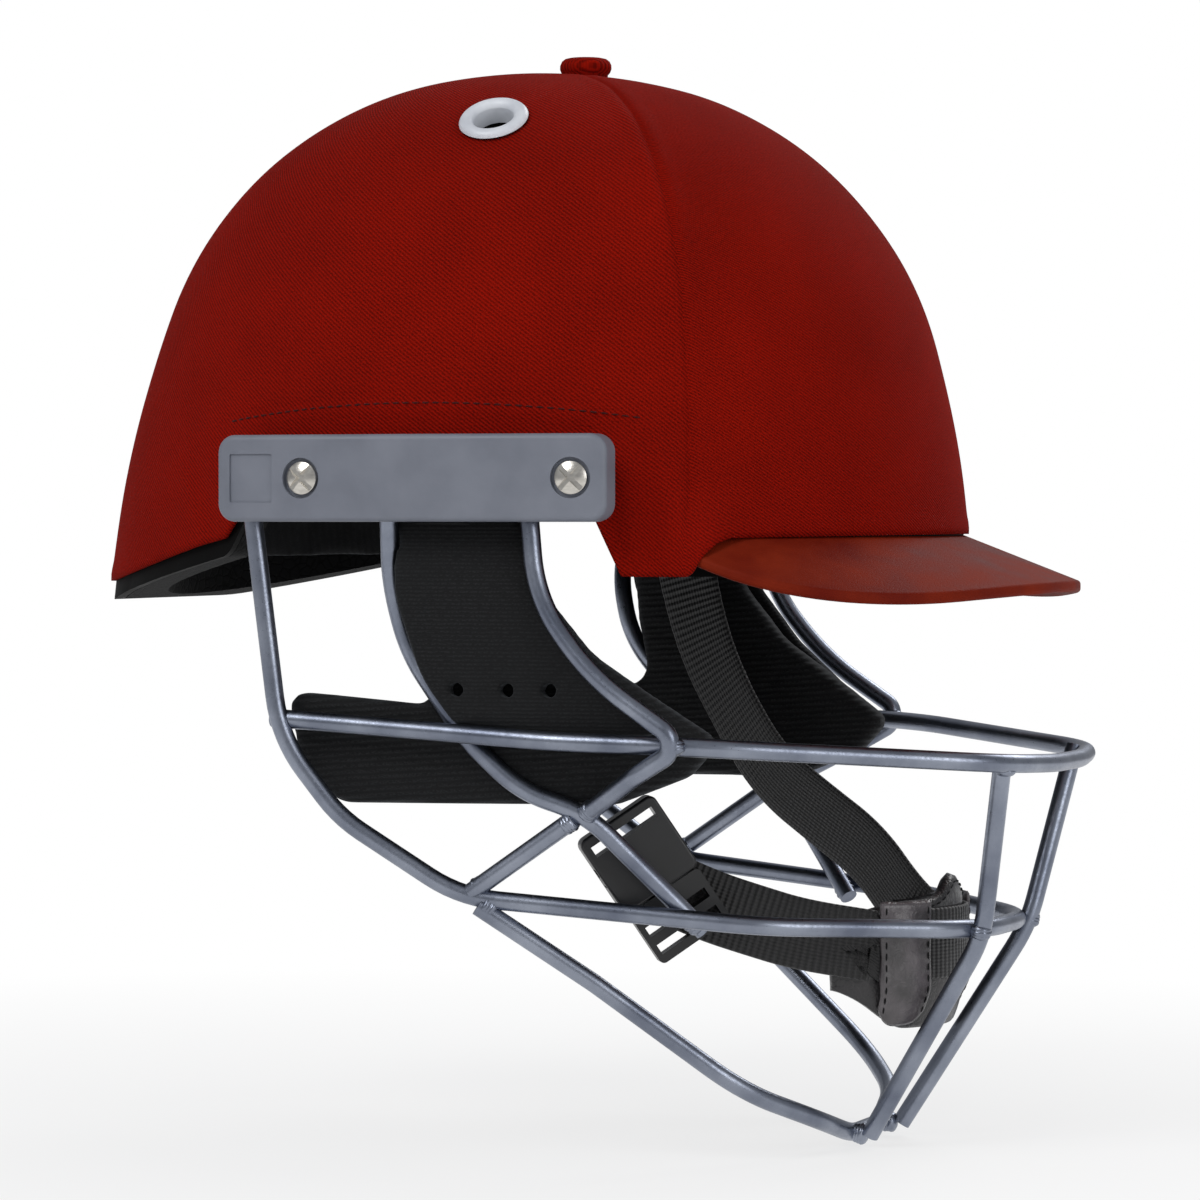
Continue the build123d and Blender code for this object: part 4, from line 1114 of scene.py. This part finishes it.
def weldTree(name):
    # Flattened beads of slightly different size, with a rippled surface.
    tree, given = startTree(name, "Bead radius", "Ripple")
    spread = addNode(tree, "GeometryNodeResampleCurve", {"mode": "COUNT", "Count": 3},
                     {"Curve": given["Geometry"]})
    ball = addNode(tree, "GeometryNodeMeshIcoSphere", {"Radius": 1.0, "Subdivisions": 4})
    random = addNode(tree, "FunctionNodeRandomValue", {
        "data_type": "FLOAT", "Seed": 4, 2: 0.88, 3: 1.04})
    flat = addNode(tree, "ShaderNodeCombineXYZ", {"X": 1.0, "Y": 1.0, "Z": 0.55})
    size = addNode(tree, "ShaderNodeVectorMath", {"operation": "SCALE"},
                   {"Vector": flat, "Scale": given["Bead radius"]})
    vary = addNode(tree, "ShaderNodeVectorMath", {"operation": "SCALE"},
                   {"Vector": size, "Scale": random.outputs[1]})
    beads = copiesAlong(tree, spread, ball, vary)
    rough = addNode(tree, "ShaderNodeTexNoise", {"Scale": grainScale(1.6)})
    centred = addNode(tree, "ShaderNodeMath", {"operation": "SUBTRACT", 1: 0.5}, {0: rough})
    depth = addNode(tree, "ShaderNodeMath", {"operation": "MULTIPLY"},
                    {0: centred, 1: given["Ripple"]})
    shift = addNode(tree, "ShaderNodeVectorMath", {"operation": "SCALE"},
                    {"Vector": addNode(tree, "GeometryNodeInputNormal"), "Scale": depth})
    moved = addNode(tree, "GeometryNodeSetPosition", None, {"Geometry": beads, "Offset": shift})
    soft = addNode(tree, "GeometryNodeSetShadeSmooth", None, {"Geometry": moved})
    return endTree(tree, soft, given["Material"])


def guideCurve(name, lines):
    # One curve object with a plain run for each line of points, in mm.
    data = bpy.data.curves.new(name, "CURVE")
    data.dimensions = "3D"
    for line in lines:
        run = data.splines.new("POLY")
        run.points.add(len(line) - 1)
        for point, place in zip(run.points, line):
            point.co = (*(place * mm), 1.0)
    piece = bpy.data.objects.new(name, data)
    bpy.context.scene.collection.objects.link(piece)
    return piece


def nodeResult(name, guide, tree, values):
    # Runs the tree on the guide and returns its result as a plain mesh.
    modifier = guide.modifiers.new("nodes", "NODES")
    modifier.node_group = tree
    for socket in tree.interface.items_tree:
        if socket.in_out == "INPUT" and socket.name in values:
            modifier[socket.identifier] = values[socket.name]
    guide.update_tag()
    mesh = bakedMesh(guide, name)
    guide.modifiers.clear()
    bpy.data.objects.remove(guide)
    return mesh


stitches = {"pitch": 2.9, "length": 1.05, "radius": 0.26, "archStart": -58.0, "archRun": 120.0,
            "archDrop": 1.9, "archPoints": 90}


def archStitchLines():
    # A row of stitches over each side cover, just below the seam.
    lines = []
    for side in sides.values():
        line = []
        for i in range(stitches["archPoints"]):
            x = stitches["archStart"] + i * stitches["archRun"] / (stitches["archPoints"] - 1)
            line.append(domeAtHeight(x, archSeamHeight(x) - stitches["archDrop"], side))
        lines.append(line)
    return lines


def domeAtHeight(x, height, side):
    # The cloth's surface at this x and height, found by halving round and down the dome.
    low, high = 0.0, math.pi
    for _ in range(26):
        angle = (low + high) / 2
        top, bottom = 20.0, 250.0
        for _ in range(26):
            distance = (top + bottom) / 2
            spot, _ = domePoint(distance, angle * side)
            if spot.z > height:
                top = distance
            else:
                bottom = distance
        if spot.x > x:
            low = angle
        else:
            high = angle
    lift = clothLift(spot, math.degrees(angle * side), distance, 50)
    return domePoint(distance, angle * side, lift + 0.05)[0]


def cupStitchLines():
    lines = []
    for side in (-1, 1):
        place = sleevePlace(side)
        for u in (0.10, 0.90):
            lines.append([place(u, 0.08 + 0.84 * i / 30, sleeve["wall"] / 2 + 0.1)
                          for i in range(31)])
    rim = []
    for i in range(120):
        rim.append(bowlPlace(0.03 + 0.94 * i / 119, 0.94, cup["wall"] / 2 + 0.05))
    lines.append(rim)
    return lines


def makeStitches(materials):
    tree = stitchTree("stitch row")
    rows = [("clothStitches", archStitchLines(), "thread", "helmet", "cloth"),
            ("cupStitches", cupStitchLines(), "blackThread", "cup_slider", "cup")]
    for name, guides, thread, body, slot in rows:
        mesh = nodeResult(name, guideCurve(name + "Guide", guides), tree, {
            "Pitch": stitches["pitch"] * mm, "Stitch length": stitches["length"] * mm,
            "Thread radius": stitches["radius"] * mm, "Material": materials[thread]})
        piece = addObject(name, mesh, materials[thread])
        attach(piece, body)
    report("stitches")


# Welds of the right side: a place near each wire's end, and the way the bead runs.
welds = {"radius": 3.05, "ripple": 0.5, "spread": 0.9, "ends": [
    ((154.0, -40.2, -44.6), (-0.07, 0.10, -1.0)), ((143.0, -25.6, -91.4), (-0.2, 0.2, -1.0)),
    ((104.2, -14.4, -150.6), (1.0, 0.0, -0.1)), ((19.0, -86.0, -83.6), (0.8, 0.3, -0.5)),
    ((43.0, -87.2, -59.8), (-0.8, 0.0, -0.55)), ((16.8, -86.6, -77.6), (-0.8, 0.0, -0.55)),
    ((73.6, -69.4, -88.0), (0.6, 0.4, -0.7)), ((79.0, -102.6, -37.6), (0.2, 0.0, -1.0)),
    ((49.6, -88.2, -56.2), (-0.6, 0.4, -0.4)), ((-38.6, -95.6, -32.6), (1.0, -0.1, 0.0))]}


def makeWelds(materials):
    lines = []
    for side in (1, -1):
        mirror = Vector((1, side, 1))
        for place, run in welds["ends"]:
            spot = Vector(place) * mirror
            step = (Vector(run) * mirror).normalized() * welds["spread"]
            lines.append([spot - step, spot + step])
    mesh = nodeResult("weldBeads", guideCurve("weldGuide", lines), weldTree("weld beads"), {
        "Bead radius": welds["radius"] * mm, "Ripple": welds["ripple"] * mm,
        "Material": materials["titanium"]})
    piece = addObject("weldBeads", mesh, materials["titanium"])
    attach(piece, "helmet")
    report("welds")


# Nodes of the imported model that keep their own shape.

keptNodes = {
    "titanium": ["brow_bar", "face_loop", "chin_bar", "middle_stay_", "front_stay_", "brace_",
                 "front_upright_"],
    "cover": ["side_cover_"], "screw": ["cover_screws_", "strap_anchor_"],
    "strip": ["side_strip_", "tee_nuts_"], "packer": ["side_packer_"],
    "eyelet": ["eyelet_"], "peak": ["peak"], "shell": ["shell_moulding"], "foam": ["impact_liner"],
    "buckle": ["buckle_receptacle", "buckle_insert", "release_arm_front", "release_arm_rear"],
}


def paintKeptNodes(materials):
    for key, names in keptNodes.items():
        for name in names:
            targets = [name] if name in cadNodes else [name + side for side in sides]
            for target in targets:
                node = cadNodes[target]
                node.data.materials.clear()
                node.data.materials.append(materials[key])
    report("kept nodes")


# Studio: a pale floor under the grille, soft lamps, and the camera.

studio = {"floorZ": -154.5, "floorHalf": 1600.0, "azimuth": 20.0, "elevation": 1.0,
          "distance": 1500.0, "target": (20.5, 0.0, 0.0), "lens": 154.35, "sensor": 36.0,
          "worldStrength": 0.42}
# Each lamp's place in metres, its power in watts and its width in metres.
lamps = {"key": ((-0.5, -1.2, 1.1), 10.0, 0.9), "fill": ((1.3, -0.7, 0.35), 4.5, 0.8),
         "rim": ((0.4, 1.1, 0.9), 6.0, 0.7)}


def cameraRayFactor(tree):
    path = addNode(tree, "ShaderNodeLightPath")
    seen = addNode(tree, "ShaderNodeMath", {"operation": "MAXIMUM"},
                   {0: path.outputs["Is Camera Ray"], 1: path.outputs["Is Glossy Ray"]})
    return addNode(tree, "ShaderNodeMath", {"operation": "MAXIMUM"},
                   {0: seen, 1: path.outputs["Is Transmission Ray"]})


def makeWorld():
    world = bpy.data.worlds.new("studio")
    bpy.context.scene.world = world
    world.use_nodes = True
    tree = world.node_tree
    tree.nodes.clear()
    soft = addNode(tree, "ShaderNodeBackground", {"Color": hexColour("eceef2"),
                                                  "Strength": studio["worldStrength"]})
    white = addNode(tree, "ShaderNodeBackground", {"Color": (1, 1, 1, 1), "Strength": 1.0})
    path = addNode(tree, "ShaderNodeLightPath")
    mix = addNode(tree, "ShaderNodeMixShader", None,
                  {0: path.outputs["Is Camera Ray"], 1: soft, 2: white})
    addNode(tree, "ShaderNodeOutputWorld", None, {"Surface": mix})


def floorMaterial():
    # Matt white paper: it shows the helmet's shadow near it and is plain white further out.
    material, tree, shader = startMaterial("Matt white paper", {
        "Base Color": hexColour("f4f4f4"), "Roughness": 0.95})
    place = objectPlace(tree)
    grain = addNode(tree, "ShaderNodeTexNoise", {"Scale": grainScale(3)}, {"Vector": place})
    bump(tree, shader, grain, 0.05, 0.3)
    away = addNode(tree, "ShaderNodeVectorMath", {"operation": "LENGTH"}, {0: place})
    fade = sharpen(tree, away.outputs["Value"], 0.2, 0.55, 0.72, 1.0)
    factor = addNode(tree, "ShaderNodeMath", {"operation": "MULTIPLY"},
                     {0: fade, 1: cameraRayFactor(tree)})
    white = addNode(tree, "ShaderNodeEmission", {"Color": (1, 1, 1, 1), "Strength": 1.0})
    mix = addNode(tree, "ShaderNodeMixShader", None,
                  {0: factor, 1: shader, 2: white})
    end = [node for node in tree.nodes if node.type == "OUTPUT_MATERIAL"][0]
    tree.links.new(mix.outputs["Shader"], end.inputs["Surface"])
    return material


def makeFloor():
    half = studio["floorHalf"] * mm
    corners = [(-half, -half), (half, -half), (half, half), (-half, half)]
    places = [(x, y, studio["floorZ"] * mm) for x, y in corners]
    mesh = meshFrom("floor", places, [(0, 1, 2, 3)])
    addObject("floor", mesh, floorMaterial(), smooth=False)


def softLamp(name, place, power, width):
    data = bpy.data.lights.new(name, "AREA")
    data.shape = "DISK"
    data.size = width
    data.energy = power
    lamp = bpy.data.objects.new(name, data)
    bpy.context.scene.collection.objects.link(lamp)
    lamp.location = Vector(place)
    lamp.rotation_euler = (-Vector(place)).to_track_quat("-Z", "Y").to_euler()


def makeCamera():
    data = bpy.data.cameras.new("photo view")
    data.sensor_width = studio["sensor"]
    data.lens = studio["lens"]
    camera = bpy.data.objects.new("photo view", data)
    bpy.context.scene.collection.objects.link(camera)
    turn = math.radians(studio["azimuth"])
    lift = math.radians(studio["elevation"])
    back = Vector((math.sin(turn) * math.cos(lift), -math.cos(turn) * math.cos(lift),
                   math.sin(lift)))
    camera.location = (Vector(studio["target"]) + back * studio["distance"]) * mm
    camera.rotation_euler = back.to_track_quat("Z", "Y").to_euler()
    data.clip_start = 0.05
    data.clip_end = 20
    bpy.context.scene.camera = camera


def makeStudio():
    makeWorld()
    makeFloor()
    for name, (place, power, width) in lamps.items():
        softLamp(name, place, power, width)
    makeCamera()
    bpy.context.scene.view_settings.view_transform = "Standard"
    report("studio")


def main():
    materials = makeMaterials()
    paintKeptNodes(materials)
    makeClothCover(materials)
    makeButton(materials)
    makePads(materials)
    makeHarness(materials)
    makeCup(materials)
    makeStitches(materials)
    makeWelds(materials)
    makeStudio()


main()
